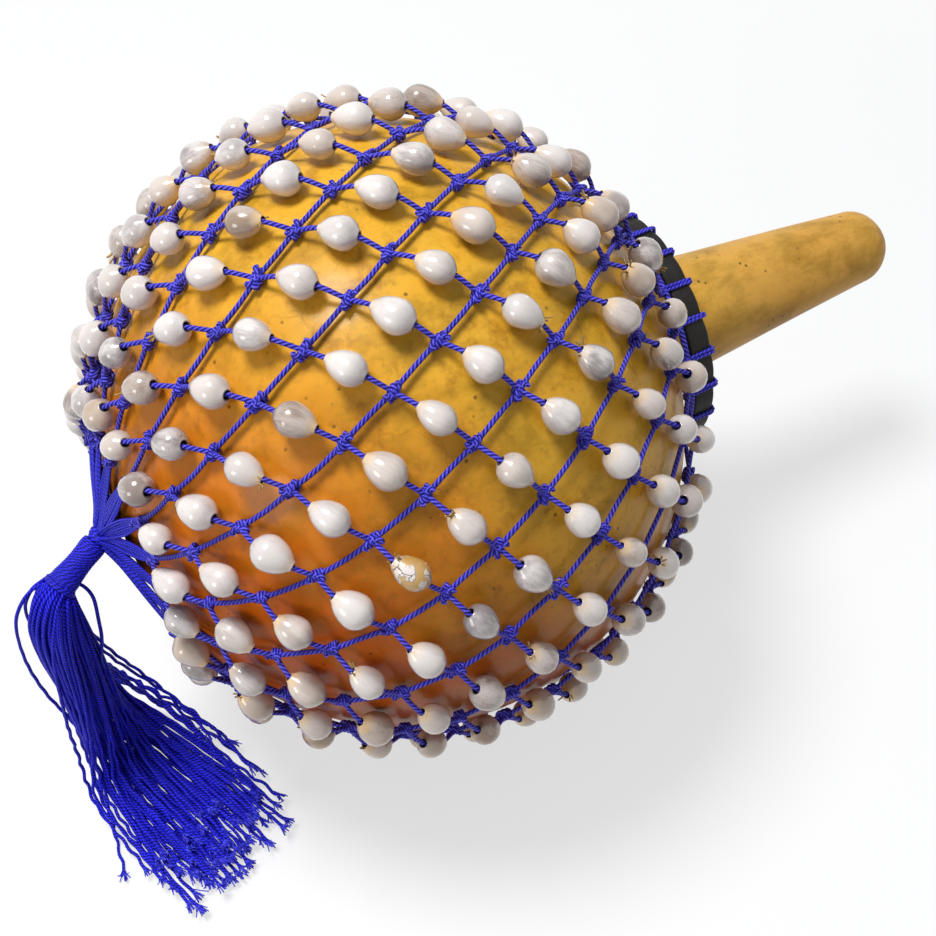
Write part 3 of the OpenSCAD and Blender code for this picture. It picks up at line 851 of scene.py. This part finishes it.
@dataclass
class Net:
    """The net over the bulb: plain cords, cords with beads, knots and seed beads."""

    shop: Shop
    cord: float = 1.08
    bead_cord: float = 0.94
    knot_cord: float = 1.0
    slack: float = 0.3
    sag: float = 0.4
    coil_turns: float = 3.6
    coil_r: float = 0.92
    coil_half: float = 1.55
    seed_around: int = 18
    husk: float = 0.42
    husk_share: float = 0.13
    seed: int = 7
    bead_seed: int = 47
    husk_seed: int = 87
    cracked: tuple[int, int] = (4, 19)
    # how much nearer the front counts as lower, for the painted shade on the seeds
    lean: float = 0.55
    # height in millimetres under which the seeds get painted warm shade
    low_shade_height: float = 48.0
    husked: tuple = ((4, 19), (5, 19), (6, 17), (3, 18), (7, 0), (8, 19))

    def plain_path(self, i: int, c: int, dice: np.random.Generator) -> list[Point]:
        """A plain cord from a knot to the next, slightly slack."""
        net = self.shop.net
        a, b = net.knot(i, c), net.knot(i + 1, c)
        middle = net.over((net.angles(i, c) + net.angles(i + 1, c)) / 2, net.knot_lift - self.sag)
        side = np.cross(unit(b - a), unit(middle))
        return self.shop.body.laid([a, middle + side * dice.uniform(-self.slack, self.slack), b], 6)

    def bead_path(self, i: int, c: int) -> list[Point]:
        """The cord from a knot through a bead to the next knot."""
        net = self.shop.net
        m = net.bead(i, c)
        reach = net.bead_way(i, c) * net.bead_len / 2 * net.size(i, c)
        return self.shop.body.laid([net.knot(i, c), m - reach, m, m + reach, net.knot(i + 1, c - 1)], 4)

    def cords(self) -> list[Piece]:
        """One piece of cord for each row."""
        net, made = self.shop.net, []
        for i in range(net.last_row):
            dice = np.random.default_rng(self.seed + i)
            paths = [self.plain_path(i, c, dice) for c in range(net.columns)]
            paths += [self.bead_path(i, c) for c in range(net.columns)]
            tapers = [(1.0, 1.0)] * net.columns + [(self.bead_cord / self.cord,) * 2] * net.columns
            piece = self.shop.lay_cord(f"net_cord_{i:02d}", paths, self.cord, 0.7, CORD, tapers=tapers,
                                       seed=self.seed + i)
            made.append(self.shop.hand_over(piece, "net", "cord", f"net_row_{i:02d}"))
        return made

    def knot_shape(self) -> Piece:
        """One knot, along X: close turns of cord with one turn that crosses over them."""
        coil = []
        for t in (k / 60 for k in range(61)):
            a = math.tau * self.coil_turns * t + 0.4
            swell = min(1.0, 5 * t + 0.1, 5 * (1 - t) + 0.1) * (0.88 + 0.18 * math.sin(math.pi * t))
            r = self.coil_r * swell
            x = self.coil_half * (2 * t - 1) + 0.5 * math.cos(a)
            coil.append(np.array([x, r * math.cos(a), r * math.sin(a)]) * MM)
        over = [np.array([1.75 * math.cos(a), 0.85 * math.sin(a) - 0.4, 0.95 + 0.2 * math.cos(2 * a)]) * MM
                for a in np.linspace(-0.6, math.pi + 0.6, 13)]
        return self.shop.lay_cord("knot_shape", [coil, over], self.knot_cord, 0.62, CORD, Section.THREAD)

    def knots(self) -> Piece:
        """All the knots of the net."""
        net, dice = self.shop.net, np.random.default_rng(self.seed)
        shape, places = self.knot_shape(), []
        for i, c in net.cells(net.last_row + 1):
            k = net.knot(i, c)
            way = unit(net.knot(min(i + 1, net.last_row), c) - net.knot(max(i - 1, 0), c))
            out = unit(k * np.array([0.9, 1, 1]))
            across = np.cross(way, out)
            way = way + across * dice.uniform(-0.35, 0.35)
            out = out + across * dice.uniform(-0.6, 0.6)
            turn = self.shop.turn_to(way * dice.choice([-1, 1]), out)
            grow = dice.uniform(0.93, 1.05)
            size = (grow * dice.uniform(0.95, 1.15), grow, grow)
            places.append((self.shop.body.place(k - unit(k) * 0.35), turn, size))
        piece = self.shop.set_out("net_knots", shape, places, CORD)
        bpy.data.objects.remove(shape)
        return self.shop.hand_over(piece, "net", "cord", f"net_row_{net.last_row:02d}")

    def seed_shape(self) -> Piece:
        """One seed along X, pointed towards +X, of length and thickness one, with a dimple at each hole."""
        points, local, inside = [], [], []
        # the third number of each ring is how much painted shade darkens it inside the hole
        outline = [(-0.36, 0.115, 1.0), (-0.462, 0.12, 1.0), (-0.492, 0.155, 0.5)]
        for u in np.linspace(-0.94, 0.9, 13):
            belly = math.sqrt(1 - abs(u) ** 2.2)
            outline.append((u * 0.5, 0.5 * belly * (1 - 0.22 * max(0.0, u + 0.3) ** 1.1), 0.0))
        outline += [(0.478, 0.145, 0.0), (0.5, 0.128, 0.3), (0.49, 0.105, 1.0), (0.38, 0.1, 1.0)]
        for x, r, hole_shade in outline:
            for a in (math.tau * k / self.seed_around for k in range(self.seed_around)):
                points.append(np.array([x, r * math.cos(a), r * math.sin(a)]))
                local.append(points[-1] * 2)
                inside.append(hole_shade)
        faces = [(b, c, d, a) for a, b, c, d in ring_faces(len(outline), self.seed_around)]
        shape = mesh_object("seed_shape", points, (), faces)
        carry(shape.data, "local", local)
        carry(shape.data, "inside", inside)
        return shape

    def beads(self) -> Piece:
        """All the seed beads, each with its own tint and a slight tilt, and browner low in front with painted
        shade.
        """
        net, dice = self.shop.net, np.random.default_rng(self.bead_seed)
        shape = self.seed_shape()
        places, tints, warms, cracked = [], [], [], []
        for i, c in net.cells(net.last_row):
            m, s, way = net.bead(i, c), net.size(i, c), net.point_way(i, c)
            out = unit(m)
            across = np.cross(way, out)
            way = unit(way + across * dice.uniform(-0.07, 0.07) + out * dice.uniform(-0.04, 0.04))
            spot, turn = self.shop.body.place(m), self.shop.turn_to(way, out + across * dice.uniform(-3, 3))
            girth = s * net.bead_d * dice.uniform(0.98, 1.06) * MM
            length = s * net.bead_len * dice.uniform(1.0, 1.08) * MM
            places.append((spot, turn, (length, girth, girth * dice.uniform(0.95, 1.0))))
            tints.append(dice.beta(1.0, 1.7))
            # painted shade: seeds low in front and near the table are made browner
            low = max(0.0, 1 - (spot[2] + self.lean * spot[1]) / (self.low_shade_height * MM))
            warms.append(min(1.0, dice.beta(0.5, 2.4) + 0.9 * low))
            cracked.append((i, c) == self.cracked)
        piece = self.shop.set_out("net_beads", shape, places, SeedSkin(), tint=tints, warm=warms,
                                  cracked=cracked)
        bpy.data.objects.remove(shape)
        return self.shop.hand_over(piece, "net", "bead", *[f"bead_row_{i:02d}" for i in range(net.last_row)])

    def husks(self) -> Piece:
        """Straw fibres left at the pointed ends of some beads."""
        net, dice = self.shop.net, np.random.default_rng(self.husk_seed)
        paths = []
        for i, c in net.cells(net.last_row):
            if dice.uniform() > self.husk_share and (i, c) not in self.husked:
                continue
            way, m = net.point_way(i, c), net.bead(i, c)
            tip = m + way * net.bead_len * net.size(i, c) * 0.46
            side = unit(np.cross(way, unit(m)))
            for _ in range(dice.integers(3, 7)):
                a = dice.uniform(0, math.tau)
                out = side * math.cos(a) + unit(m) * math.sin(a)
                root = tip + out * 1.25
                end = root + way * dice.uniform(0.7, 1.7) + out * dice.uniform(0.2, 1.3)
                paths.append(self.shop.body.laid([root - way * 0.5, root + way * 0.3, end], 3))
        tapers = [(1.0, 0.25)] * len(paths)
        piece = self.shop.lay_cord("seed_husks", paths, self.husk, 0.4, StrawHusk(), Section.HAIR, tapers, 3)
        return self.shop.hand_over(piece, "net", "bead")

    def build(self) -> list[Piece]:
        """Makes the whole net."""
        return [*self.cords(), self.knots(), self.beads(), self.husks()]


@dataclass
class Collar:
    """The black hoop on the shoulder, with the cords tied over it.

    The hitch and both ends of a leg say how far they lie from the hoop's bulb side and over its outside.
    """

    shop: Shop
    bore_r: float = 27.4
    wall: float = 2.8
    width: float = 5.6
    edge: float = 0.8
    ring_x: float = 68.68
    strap: float = 0.8
    clear: float = 0.05
    cord: float = 1.5
    pair: float = 0.43
    swell: float = 0.4
    held_len: float = 2.4
    hitch: Span = (-2.9, 0.95)
    leg_head: Span = (-3.3, 1.1)
    leg_inner: Span = (-1.2, 0.9)
    around: int = 480
    rim_steps: int = 180
    seed: int = 21

    @property
    def out_r(self) -> float:
        """The hoop's outer radius."""
        return self.bore_r + self.wall

    def angles(self) -> list[float]:
        """Where round the axis each pair of straps lies, in radians."""
        net = self.shop.net
        return [math.radians(net.angles(net.last_row, c)[1]) for c in range(net.columns)]

    def hoop(self) -> Piece:
        """The hoop, drawn in a little where the straps hold it."""
        points, section, e = [], [], self.edge
        for cx, cr, start in ((0, 0, 180), (1, 0, 270), (1, 1, 0), (0, 1, 90)):
            for a in (math.radians(start + 22.5 * k) for k in range(5)):
                section.append((cx, cr, math.cos(a), math.sin(a)))
        held = np.array(self.angles())
        for t in (math.tau * j / self.around for j in range(self.around)):
            away = np.abs((t - held + math.pi) % math.tau - math.pi).min() * self.out_r
            swell = self.swell * (1 - math.exp(-(away / self.held_len) ** 2)) + 0.05 * math.sin(7 * t + 1)
            for cx, cr, ca, sa in section:
                x = self.ring_x + e + cx * (self.width - 2 * e) + e * ca + (0.12 * swell * (1 if cx else -1))
                r = self.bore_r + e + cr * (self.wall - 2 * e) + e * sa + (swell if cr else 0.0)
                points.append(self.shop.body.place(polar(x, r, t)))
        faces = ring_faces(self.around, len(section), closed=True)
        hoop = self.shop.skin("collar_hoop", points, faces, BlackRubber())
        return self.shop.hand_over(hoop, "net", "ring", "collar_ring")

    def strap_route(self) -> list[Span]:
        """The middle of a strap round the hoop's section: distance along the axis and radius."""
        g, t, c = self.clear, self.strap / 2, self.cord
        x, w, b, o = self.ring_x, self.width, self.bore_r, self.out_r
        inside = [(x - g - 0.3, b - g - t), (x + w / 2, b - g - t), (x + w + g + 0.1, b - g - t * 0.9)]
        side = [(x + w + g + t, b + 0.6), (x + w + g + t, o - 0.4)]
        outside = [(x + w + g * 2, o + g + t), (x + w / 2, o + g + t), (x - g - 0.9, o + g + t)]
        over_cord = [(x - 2 * g - c - t * 0.6, o + g + t * 0.5), (x - 2 * g - c - t, o - c * 0.8),
                     (x - c * 0.8, b + 0.4)]
        return inside + side + outside + over_cord

    def lashings(self) -> Piece:
        """The paired straps over the hoop, and the doubled legs down to the net."""
        net, laid, out_r = self.shop.net, self.shop.body.laid, self.out_r
        dice, paths = np.random.default_rng(self.seed), []
        for c, t in enumerate(self.angles()):
            down = net.knot(net.last_row, c)

            def at(x: float, r: float, y: float) -> Point:
                """A point near this pair of straps."""
                return np.array([x, y * math.cos(t) - r * math.sin(t), y * math.sin(t) + r * math.cos(t)])

            for side in (-1, 1):
                y = side * self.pair
                lean = dice.uniform(-0.5, 0.5) / self.width * 0.8
                route = [at(x, r, y + lean * (x - self.ring_x)) for x, r in self.strap_route()]
                paths.append(laid(route, 3, True))
                head = at(self.ring_x + self.leg_head[0], out_r + self.leg_head[1], y * 0.9)
                inner = at(self.ring_x + self.leg_inner[0], out_r + self.leg_inner[1], y)
                middle = (head + down) / 2 + unit(down) * dice.uniform(0.0, 0.3)
                middle = middle + at(0, 0, side * dice.uniform(0.3, 0.9))
                paths.append(laid([inner, head, middle, down + unit(down) * 0.2], 4))
        piece = self.shop.lay_cord("collar_lashings", paths, self.strap, 0.6, STRAP, seed=self.seed + 1)
        return self.shop.hand_over(piece, "net", "cord", "collar_straps")

    def hitches(self, knot: Piece) -> Piece:
        """The knots in which the legs are hitched to the hoop's cord."""
        dice, places = np.random.default_rng(self.seed + 2), []
        for t in self.angles():
            spot = self.shop.body.place(polar(self.ring_x + self.hitch[0], self.out_r + self.hitch[1], t))
            turn = self.shop.turn_to(np.array([0.15, -math.cos(t), -math.sin(t)]), polar(-0.7, 1, t))
            grow = dice.uniform(0.72, 0.82)
            places.append((spot, turn, (grow, grow, grow * 0.9)))
        piece = self.shop.set_out("collar_hitches", knot, places, CORD)
        return self.shop.hand_over(piece, "net", "cord")

    def rim_cord(self) -> Piece:
        """The cord that runs twice round the hoop on its bulb side."""
        x, r = self.ring_x - self.clear - self.cord / 2, self.out_r - self.cord / 2
        paths = []
        for dx, dr, wobble in ((0.0, 0.1, 0.0), (-0.5, 1.15, 0.18)):
            ring = []
            for a in np.linspace(0, math.tau, self.rim_steps + 1):
                ring.append(self.shop.body.place(polar(x + dx, r + dr + wobble * math.sin(9 * a + 1), a)))
            paths.append(ring)
        piece = self.shop.lay_cord("collar_rim_cord", paths, self.cord, 0.7, CORD, seed=self.seed + 3)
        return self.shop.hand_over(piece, "net", "cord", "collar_cord")

    def build(self, knot: Piece) -> list[Piece]:
        """Makes the whole collar, with copies of a knot for its hitches."""
        hitches = self.hitches(knot)
        return [self.hoop(), self.rim_cord(), self.lashings(), hitches]


@dataclass
class Gathering:
    """The doubled cords from the last knots, which fan together over the closed end into one knot."""

    shop: Shop
    point: Point
    way: Point
    threads: int = 4
    thread: float = 0.62
    lead: float = 4.6
    ball_r: float = 2.45
    ball_turns: int = 9
    ball_steps: int = 149
    ball_cord: float = 1.2
    seed: int = 31

    def cords(self) -> Piece:
        """Two cords from each of the last knots to the gather point, each a flat band of its own threads."""
        net, dice, paths = self.shop.net, np.random.default_rng(self.seed), []
        lift, goal = polar(-1, 0, 0), polar(-(net.bottom_half + self.lead), 0, 0)
        for c in range(net.columns):
            k = net.knot(0, c)
            radial = unit(k * np.array([0, 1, 1]))
            around = np.cross([1.0, 0, 0], radial)
            for side in (-1, 1):
                spread = dice.uniform(0.6, 0.85)
                for j in range(self.threads):
                    lie = (j - (self.threads - 1) / 2) * self.thread * 0.9
                    stack = dice.uniform(-0.7, 0.9)
                    start = k + around * (side * 0.3 + lie * 0.5)
                    over = k * 0.66 + goal * 0.34 + around * (side * spread * 1.25 + lie)
                    late = k * 0.3 + goal * 0.7 + around * (side * spread + lie * 0.8)
                    near = goal + radial * 2.6 + around * (side * 0.4 + lie * 0.3) + lift * stack
                    over, late = over + lift * (0.4 + stack * 0.2), late + lift * (0.5 + stack * 0.4)
                    paths.append(self.shop.body.laid([start, over, late, near, goal + radial * 0.6], 5))
        piece = self.shop.lay_cord("gather_fan", paths, self.thread, 1.0, THREAD, Section.STRAND,
                                   [(1.1, 0.8)] * len(paths), self.seed + 1)
        return self.shop.hand_over(piece, "net", "cord", "gather_cords")

    def knot(self) -> Piece:
        """The knot at the pivot: cord wound round like a small ball."""
        ball, r = [], self.ball_r
        for t in (k / self.ball_steps for k in range(self.ball_steps + 1)):
            b = math.pi * (0.06 + 0.88 * t)
            turn = math.tau * self.ball_turns * t
            ball.append(beside(self.point, self.way, math.cos(b) * r, math.sin(b) * r, turn))
        piece = self.shop.lay_cord("gather_ball", [ball], self.ball_cord, 0.6, THREAD, seed=self.seed + 2)
        return self.shop.hand_over(piece, "knot", "cord", "gather_knot")

    def build(self) -> list[Piece]:
        """Makes the fan and its knot."""
        return [self.cords(), self.knot()]


@dataclass
class Tassel:
    """A wound sleeve, and the strands that arch out of it, hang down and fan out on the table.

    The rows of the bundle say where its middle is, from the bulb's middle in x and y and from the table in z,
    which way its side looks, in degrees from X, and how wide and how deep it is to each side. The two rows of
    the mouth say how far from the sleeve's end they are instead of where. The rows of wide strands say how
    many there are, how far out in the bundle they start, how far apart they are, and between which bounds
    their depth, their length and their stray lie.
    """

    shop: Shop
    pivot: Point
    way: Point
    strands: int = 92
    strand: float = 0.9
    thread: float = 0.66
    core: float = 5.2
    fray: float = 0.3
    kink: float = 0.3
    kink_len: float = 6.4
    smooth_len: float = 70.0
    rest_z: float = 0.5
    sleeve_from: float = 2.3
    sleeve_to: float = 15.6
    sleeve_r: float = 3.05
    sleeve_turns: int = 24
    turn_steps: int = 20
    seed: int = 51
    fray_seed: int = 60
    mouth: tuple = ((-2.5, 108.0, 2.3, 2.3), (0.4, 107.0, 3.2, 3.1))
    bundle: tuple = (
        ((-87.6, -5.4, 74.6), 102, 4.6, 4.5), ((-89.4, -6.3, 69), 96, 5.6, 5.8),
        ((-90.1, -6.7, 61), 88, 6.0, 6.3), ((-90.3, -6.9, 48), 78, 6.6, 6.5),
        ((-90.2, -6.9, 35), 66, 7.6, 6.2), ((-89.4, -7.2, 23), 54, 9.2, 5.5),
        ((-87.8, -9.6, 13.4), 42, 11.2, 4.4), ((-85.5, -15, 7.4), 32, 13.0, 3.3),
        ((-82, -23.5, 4.4), 26, 14.4, 2.6), ((-78.2, -33, 3.5), 23, 15.6, 2.3),
        ((-74.6, -43, 3.1), 22, 16.4, 2.1), ((-71.2, -52.5, 2.9), 22, 17.0, 1.9))
    wide: tuple = ((9, 0.86, 0.05, (-0.6, 0.9), (0.72, 0.95), (0.12, 0.4)),
                   (4, -0.95, -0.06, (-0.5, 0.6), (0.85, 1.0), (0.05, 0.2)))
    outer_loop: tuple = (
        (-86.6, -3.0, 77.2), (-91, -2.2, 76.4), (-94.9, -2.3, 73.2), (-98, -2.2, 67.4), (-99.8, -1.8, 58.2),
        (-100.6, -1.6, 47), (-100, -1.9, 35.2), (-98.4, -2.9, 25.8), (-96, -6, 15.3), (-94.4, -13, 7.6),
        (-91.5, -22, 4), (-88, -32, 2.8), (-84, -42, 2), (-81, -51, 1.4))
    lone_strand: tuple = (
        (-88.6, -6.6, 73), (-93.4, -6.9, 63.4), (-96.2, -6, 41), (-97, -6.2, 24), (-98, -7, 10.5),
        (-98.4, -11, 2.2), (-98.2, -17.6, 0.8), (-98.5, -24.5, 0.6), (-99.2, -31.9, 0.6), (-99.7, -38.3, 0.6))
    inner_loop: tuple = (
        (-84.4, -3.4, 76.2), (-81.2, -4.4, 74), (-79.8, -6.4, 70.6), (-80.6, -8, 64.5), (-82, -8.6, 56.1),
        (-84, -8.4, 49.6), (-84.6, -8.2, 41.8), (-84.6, -8.6, 32), (-83, -10, 21), (-80, -13.5, 11.5),
        (-76.5, -21, 6.4), (-72.5, -30, 4.2), (-68, -39, 3))

    def sleeve(self) -> Piece:
        """A close winding of thread, slightly waisted, with a rim where the strands come out, over a core."""
        length, n = self.sleeve_to - self.sleeve_from, self.sleeve_turns * self.turn_steps
        path = []
        for t in (k / n for k in range(n + 1)):
            waist = 0.35 * math.sin(math.pi * min(1.0, t * 1.3)) + 0.5 * math.exp(-t * 22)
            rim = 0.35 * t ** 3 + 0.5 * max(0.0, 1 - abs(t - 0.95) / 0.05) ** 0.5
            turn = math.tau * self.sleeve_turns * t
            along, out = self.sleeve_from + length * t, self.sleeve_r - waist + rim
            path.append(beside(self.pivot, self.way, along, out, turn))
        piece = self.shop.lay_cord("tassel_sleeve", [path], self.thread, 0.6, THREAD, Section.THREAD,
                                   seed=self.seed + 1)
        self.shop.hand_over(piece, "tassel", "cord", "tassel_binding")
        core = [self.pivot + self.way * (self.sleeve_from + (length + 0.6) * k / 8) * MM for k in range(9)]
        fill = self.shop.lay_cord("tassel_core", [core], self.core, 1.5, THREAD, seed=self.seed + 2)
        self.shop.hand_over(fill, "tassel", "cord")
        return piece

    def spot(self, place: Sequence[float]) -> Point:
        """A place that is given from the bulb's middle and the table, in metres in the row frame."""
        centre = self.shop.body.centre
        return np.array([centre[0] + place[0] * MM, centre[1] + place[1] * MM, place[2] * MM])

    def middle(self) -> list[tuple[Point, float, float, float]]:
        """The bundle's middle: points in metres, the heading of its side, and half widths in millimetres."""
        mouth = [(self.pivot + self.way * (self.sleeve_to + far) * MM, *rest) for far, *rest in self.mouth]
        return mouth + [(self.spot(place), *rest) for place, *rest in self.bundle]

    def kinked(self, points: Sequence[Point], dice: np.random.Generator, much: float) -> list[Point]:
        """Gives a strand the small waves of cord that has been knotted, more of them away from the sleeve.

        Args:
            points: the strand's way in metres.
            dice: what is random.
            much: how strong the waves are, as a share of the usual.
        Returns:
            The strand's points in metres.
        """
        path = curved(points, 7)
        phase, lengths = dice.uniform(0, math.tau, 3), self.kink_len * dice.uniform(0.8, 1.3, 3)
        out, run = [], 0.0
        for before, p in zip([path[0], *path], path):
            run += float(np.linalg.norm(p - before)) / MM
            grow = self.kink * much * min(1.0, (run / self.smooth_len) ** 2) * MM
            q = p + np.sin(math.tau * run / lengths + phase) * grow
            q[2] = max(q[2], self.rest_z * MM)
            out.append(q)
        return out

    def strand_path(self, a: float, b: float, length: float, dice: np.random.Generator,
                    stray: float = 0.0) -> list[Point]:
        """One strand of the bundle.

        Args:
            a: its place across the bundle, from -1 to 1.
            b: its place through the bundle, from -1 to 1.
            length: how far it runs, as a share of the whole.
            dice: what is random.
            stray: how far it strays from the bundle on its way, in bundle widths.
        Returns:
            Its points in metres.
        """
        rows, points = self.middle(), []
        wave, shift = dice.uniform(0.5, 1.0, 2), dice.uniform(0, math.tau, 2)
        for i, (p, heading, across, deep) in enumerate(rows):
            ahead = unit(rows[min(i + 1, len(rows) - 1)][0] - rows[max(i - 1, 0)][0])
            h = math.radians(heading)
            s = np.array([math.cos(h), math.sin(h), 0])
            s = unit(s - ahead * (s @ ahead))
            u = np.cross(s, ahead)
            free, late = (min(1.0, max(0.0, (i - 2) / rows_on)) for rows_on in (4, 9))
            bulge = 1 + stray * math.sin(math.pi * late)
            x = a * across * bulge + free * 0.9 * math.sin(wave[0] * i + shift[0])
            y = b * deep * bulge + free * 0.45 * math.sin(wave[1] * i + shift[1])
            q = p + (s * x + u * y) * MM
            q[2] = max(q[2], (self.rest_z + 0.25 * (1 + math.sin(shift[1] * 3 + i))) * MM)
            points.append(q)
        path = self.kinked(points, dice, dice.uniform(0.0, 0.8) + 3 * abs(stray))
        return path[:max(20, int(len(path) * length))]

    def strand_paths(self, dice: np.random.Generator) -> list[list[Point]]:
        """All the strands: those of the bundle, the wide ones beside it, two loops and one strand alone."""
        paths, golden = [], math.pi * (3 - math.sqrt(5))
        for k in range(self.strands):
            r, t = math.sqrt((k + 0.5) / self.strands), golden * k
            paths.append(self.strand_path(r * math.cos(t), r * math.sin(t), dice.uniform(0.86, 1.0), dice))
        for many, start, step, depths, lengths, strays in self.wide:
            for k in range(many):
                depth, length, stray = dice.uniform(*depths), dice.uniform(*lengths), dice.uniform(*strays)
                paths.append(self.strand_path(start + step * k, depth, length, dice, stray))
        for loose in (self.outer_loop, self.lone_strand, self.inner_loop):
            paths.append(self.kinked([self.spot(place) for place in loose], dice, 0.9))
        return paths

    def frays(self, paths: Sequence[Sequence[Point]], dice: np.random.Generator) -> Piece:
        """The loose fibres at the ends of the strands."""
        frays = []
        for path in paths:
            end, way = path[-1], unit(path[-1] - path[-4])
            side = unit(np.cross(way, [0, 0, 1.0]) + np.array([0, 0, 1e-6]))
            for _ in range(dice.integers(14, 22)):
                sway, rise = dice.normal(0, 0.5), np.array([0, 0, dice.uniform(-0.3, 0.6)])
                far = end + (way * dice.uniform(0.4, 3.0) + side * sway * 1.5 + rise * 1.3) * MM
                far[2] = max(far[2], 0.25 * MM)
                mid = end + (way * 0.6 + side * sway * 0.7 + rise * 0.6) * MM
                mid[2] = max(mid[2], 0.3 * MM)
                frays.append(curved([end - way * 1.5 * MM, mid, far], 3))
        fuzz = self.shop.lay_cord("tassel_frays", frays, self.fray, 0.6, FIBRE, Section.HAIR,
                                  [(1.0, 0.5)] * len(frays), self.fray_seed)
        return self.shop.hand_over(fuzz, "tassel", "strand")

    def fringe(self) -> list[Piece]:
        """The strands, in three pieces, and the loose fibres at their ends."""
        dice, made = np.random.default_rng(self.seed), []
        paths = self.strand_paths(dice)
        for k, nodes in enumerate((["tassel_strands"], [], [])):
            piece = self.shop.lay_cord(f"tassel_strands_{k + 1}", paths[k::3], self.strand, 0.9, STRAND,
                                       Section.STRAND, seed=self.seed + k)
            made.append(self.shop.hand_over(piece, "tassel", "strand", *nodes))
        return [*made, self.frays(paths, dice)]

    def build(self) -> list[Piece]:
        """Makes the sleeve and the fringe."""
        return [self.sleeve(), *self.fringe()]


@dataclass
class Studio:
    """The camera of the photograph, a pale floor, and plain soft light."""

    body: Body
    lens: float = 53.07
    film: float = 36.0
    camera_from_bulb: tuple = (-71.22, -210.38, 255.07)
    right: tuple = (0.89235, -0.44910, -0.04483)
    down: tuple = (-0.37514, -0.68280, -0.62694)
    look: tuple = (0.25095, 0.57627, -0.77777)
    sky: float = 0.35
    white: Colour = (1.0, 1.0, 1.0)
    air: Colour = (0.95, 0.97, 1.0)
    pale: Colour = (0.93, 0.94, 0.955)
    dusty: Colour = (0.88, 0.895, 0.92)
    white_share: float = 0.62
    white_from: Span = (0.15, 0.6)
    floor_half: float = 6.0
    bounce: Colour = (0.5, 0.46, 0.42)
    lamps: tuple = (("top", (-0.22, 0.12, 1.0), (0.0, 0.0, 0.05), 0.34, 8.0),
                    ("window", (-0.95, -0.3, 0.34), (0.0, 0.0, 0.08), 0.36, 2.1))

    def camera(self) -> None:
        """Puts the camera where the photograph was taken from."""
        data = bpy.data.cameras.new("camera")
        data.lens, data.sensor_width, data.clip_start = self.lens, self.film, 0.01
        turn = Matrix((self.right, [-v for v in self.down], [-v for v in self.look])).transposed()
        camera = bpy.data.objects.new("camera", data)
        place = Vector(self.body.centre) + Vector(self.camera_from_bulb) * MM
        camera.matrix_world = Matrix.Translation(place) @ turn.to_4x4()
        bpy.context.scene.collection.objects.link(camera)
        bpy.context.scene.camera = camera

    def seen(self, tree: Tree) -> Value:
        """1 for what the camera sees straight, in a gloss or through glass, and 0 for light on the object."""
        rays = tree.add("ShaderNodeLightPath")
        straight, gloss, through = (Value(tree, rays.outputs[f"Is {kind} Ray"])
                                    for kind in ("Camera", "Glossy", "Transmission"))
        return straight.most(gloss).most(through)

    def world(self) -> None:
        """Pale light from all round, with white behind the object."""
        world = bpy.data.worlds.new("studio")
        world.use_nodes = True
        bpy.context.scene.world = world
        tree = Tree(world.node_tree)
        world.node_tree.nodes.clear()
        soft = tree.add("ShaderNodeBackground", {}, {"Color": self.air, "Strength": self.sky})
        white = tree.add("ShaderNodeBackground", {}, {"Color": self.white, "Strength": 1.0})
        sockets = {0: self.seen(tree), 1: soft.outputs[0], 2: white.outputs[0]}
        mixed = tree.add("ShaderNodeMixShader", {}, sockets)
        tree.add("ShaderNodeOutputWorld", {}, {"Surface": mixed.outputs[0]})

    def floor(self) -> None:
        """A pale floor that keeps the object's shadow, and is seen nearly white."""
        n = self.floor_half
        floor = mesh_object("floor", [(-n, -n, 0), (n, -n, 0), (n, n, 0), (-n, n, 0)], (), [(0, 1, 2, 3)])
        p = Paint("pale_floor")
        grain = p.noise(p.place, 9.0, 3.0)
        floor.data.materials.append(p.finish(p.mix(grain * 0.08, self.pale, self.dusty), 0.62))
        white = p.add("ShaderNodeEmission", {}, {"Color": self.white, "Strength": 1.0})
        away = Value(p, p.add("ShaderNodeVectorMath", {"operation": "LENGTH"}, {0: p.place}).outputs["Value"])
        share = self.white_share + away.within(*self.white_from) * (1 - self.white_share)
        shown = p.add("ShaderNodeMixShader", {}, {0: share, 1: p.shader.outputs[0], 2: white.outputs[0]})
        bounce = p.add("ShaderNodeBsdfDiffuse", {}, {"Color": self.bounce})
        both = p.add("ShaderNodeMixShader", {}, {0: self.seen(p), 1: bounce.outputs[0], 2: shown.outputs[0]})
        p.feed(p.output, {"Surface": both.outputs[0]})

    def light(self) -> None:
        """A soft lamp above and to the left, and a weak one low on the tassel's side, like a window."""
        for name, place, aim, size, power in self.lamps:
            data = bpy.data.lights.new(name, "AREA")
            data.shape, data.size, data.energy = "DISK", size, power
            lamp = bpy.data.objects.new(name, data)
            lamp.location = place
            lamp.rotation_euler = (Vector(aim) - Vector(place)).to_track_quat("-Z", "Y").to_euler()
            bpy.context.scene.collection.objects.link(lamp)

    def build(self) -> None:
        """Sets everything up."""
        bpy.context.scene.view_settings.view_transform = "Standard"
        self.camera()
        self.world()
        self.floor()
        self.light()


def main() -> None:
    """Builds every sub-assembly in order, and reports each piece."""
    logging.basicConfig(level=logging.INFO, format="%(name)s: %(message)s")
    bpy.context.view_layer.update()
    joints = {joint["name"]: joint for joint in frame["record"]["behaviour"]["joints"]}
    turn = joints["net_turn"]
    body = Body(np.array(turn["pos_m"], float), unit(np.array(turn["axis"], float)))
    pivot = np.array(joints["tassel_lift"]["pos_m"], float)
    sleeve_way = unit(np.array([-0.86, -0.28, -0.42]))
    Studio(body).build()
    shop = Shop(body)
    net = Net(shop)
    pieces = [Gourd(shop).build(), *net.build()]
    knot = net.knot_shape()
    pieces += Collar(shop).build(knot)
    bpy.data.objects.remove(knot)
    pieces += Gathering(shop, pivot, sleeve_way).build()
    pieces += Tassel(shop, pivot, sleeve_way).build()
    for piece in pieces:
        log.info("%s: %d faces", piece.name, len(piece.data.polygons))


if __name__ == "__main__":
    main()
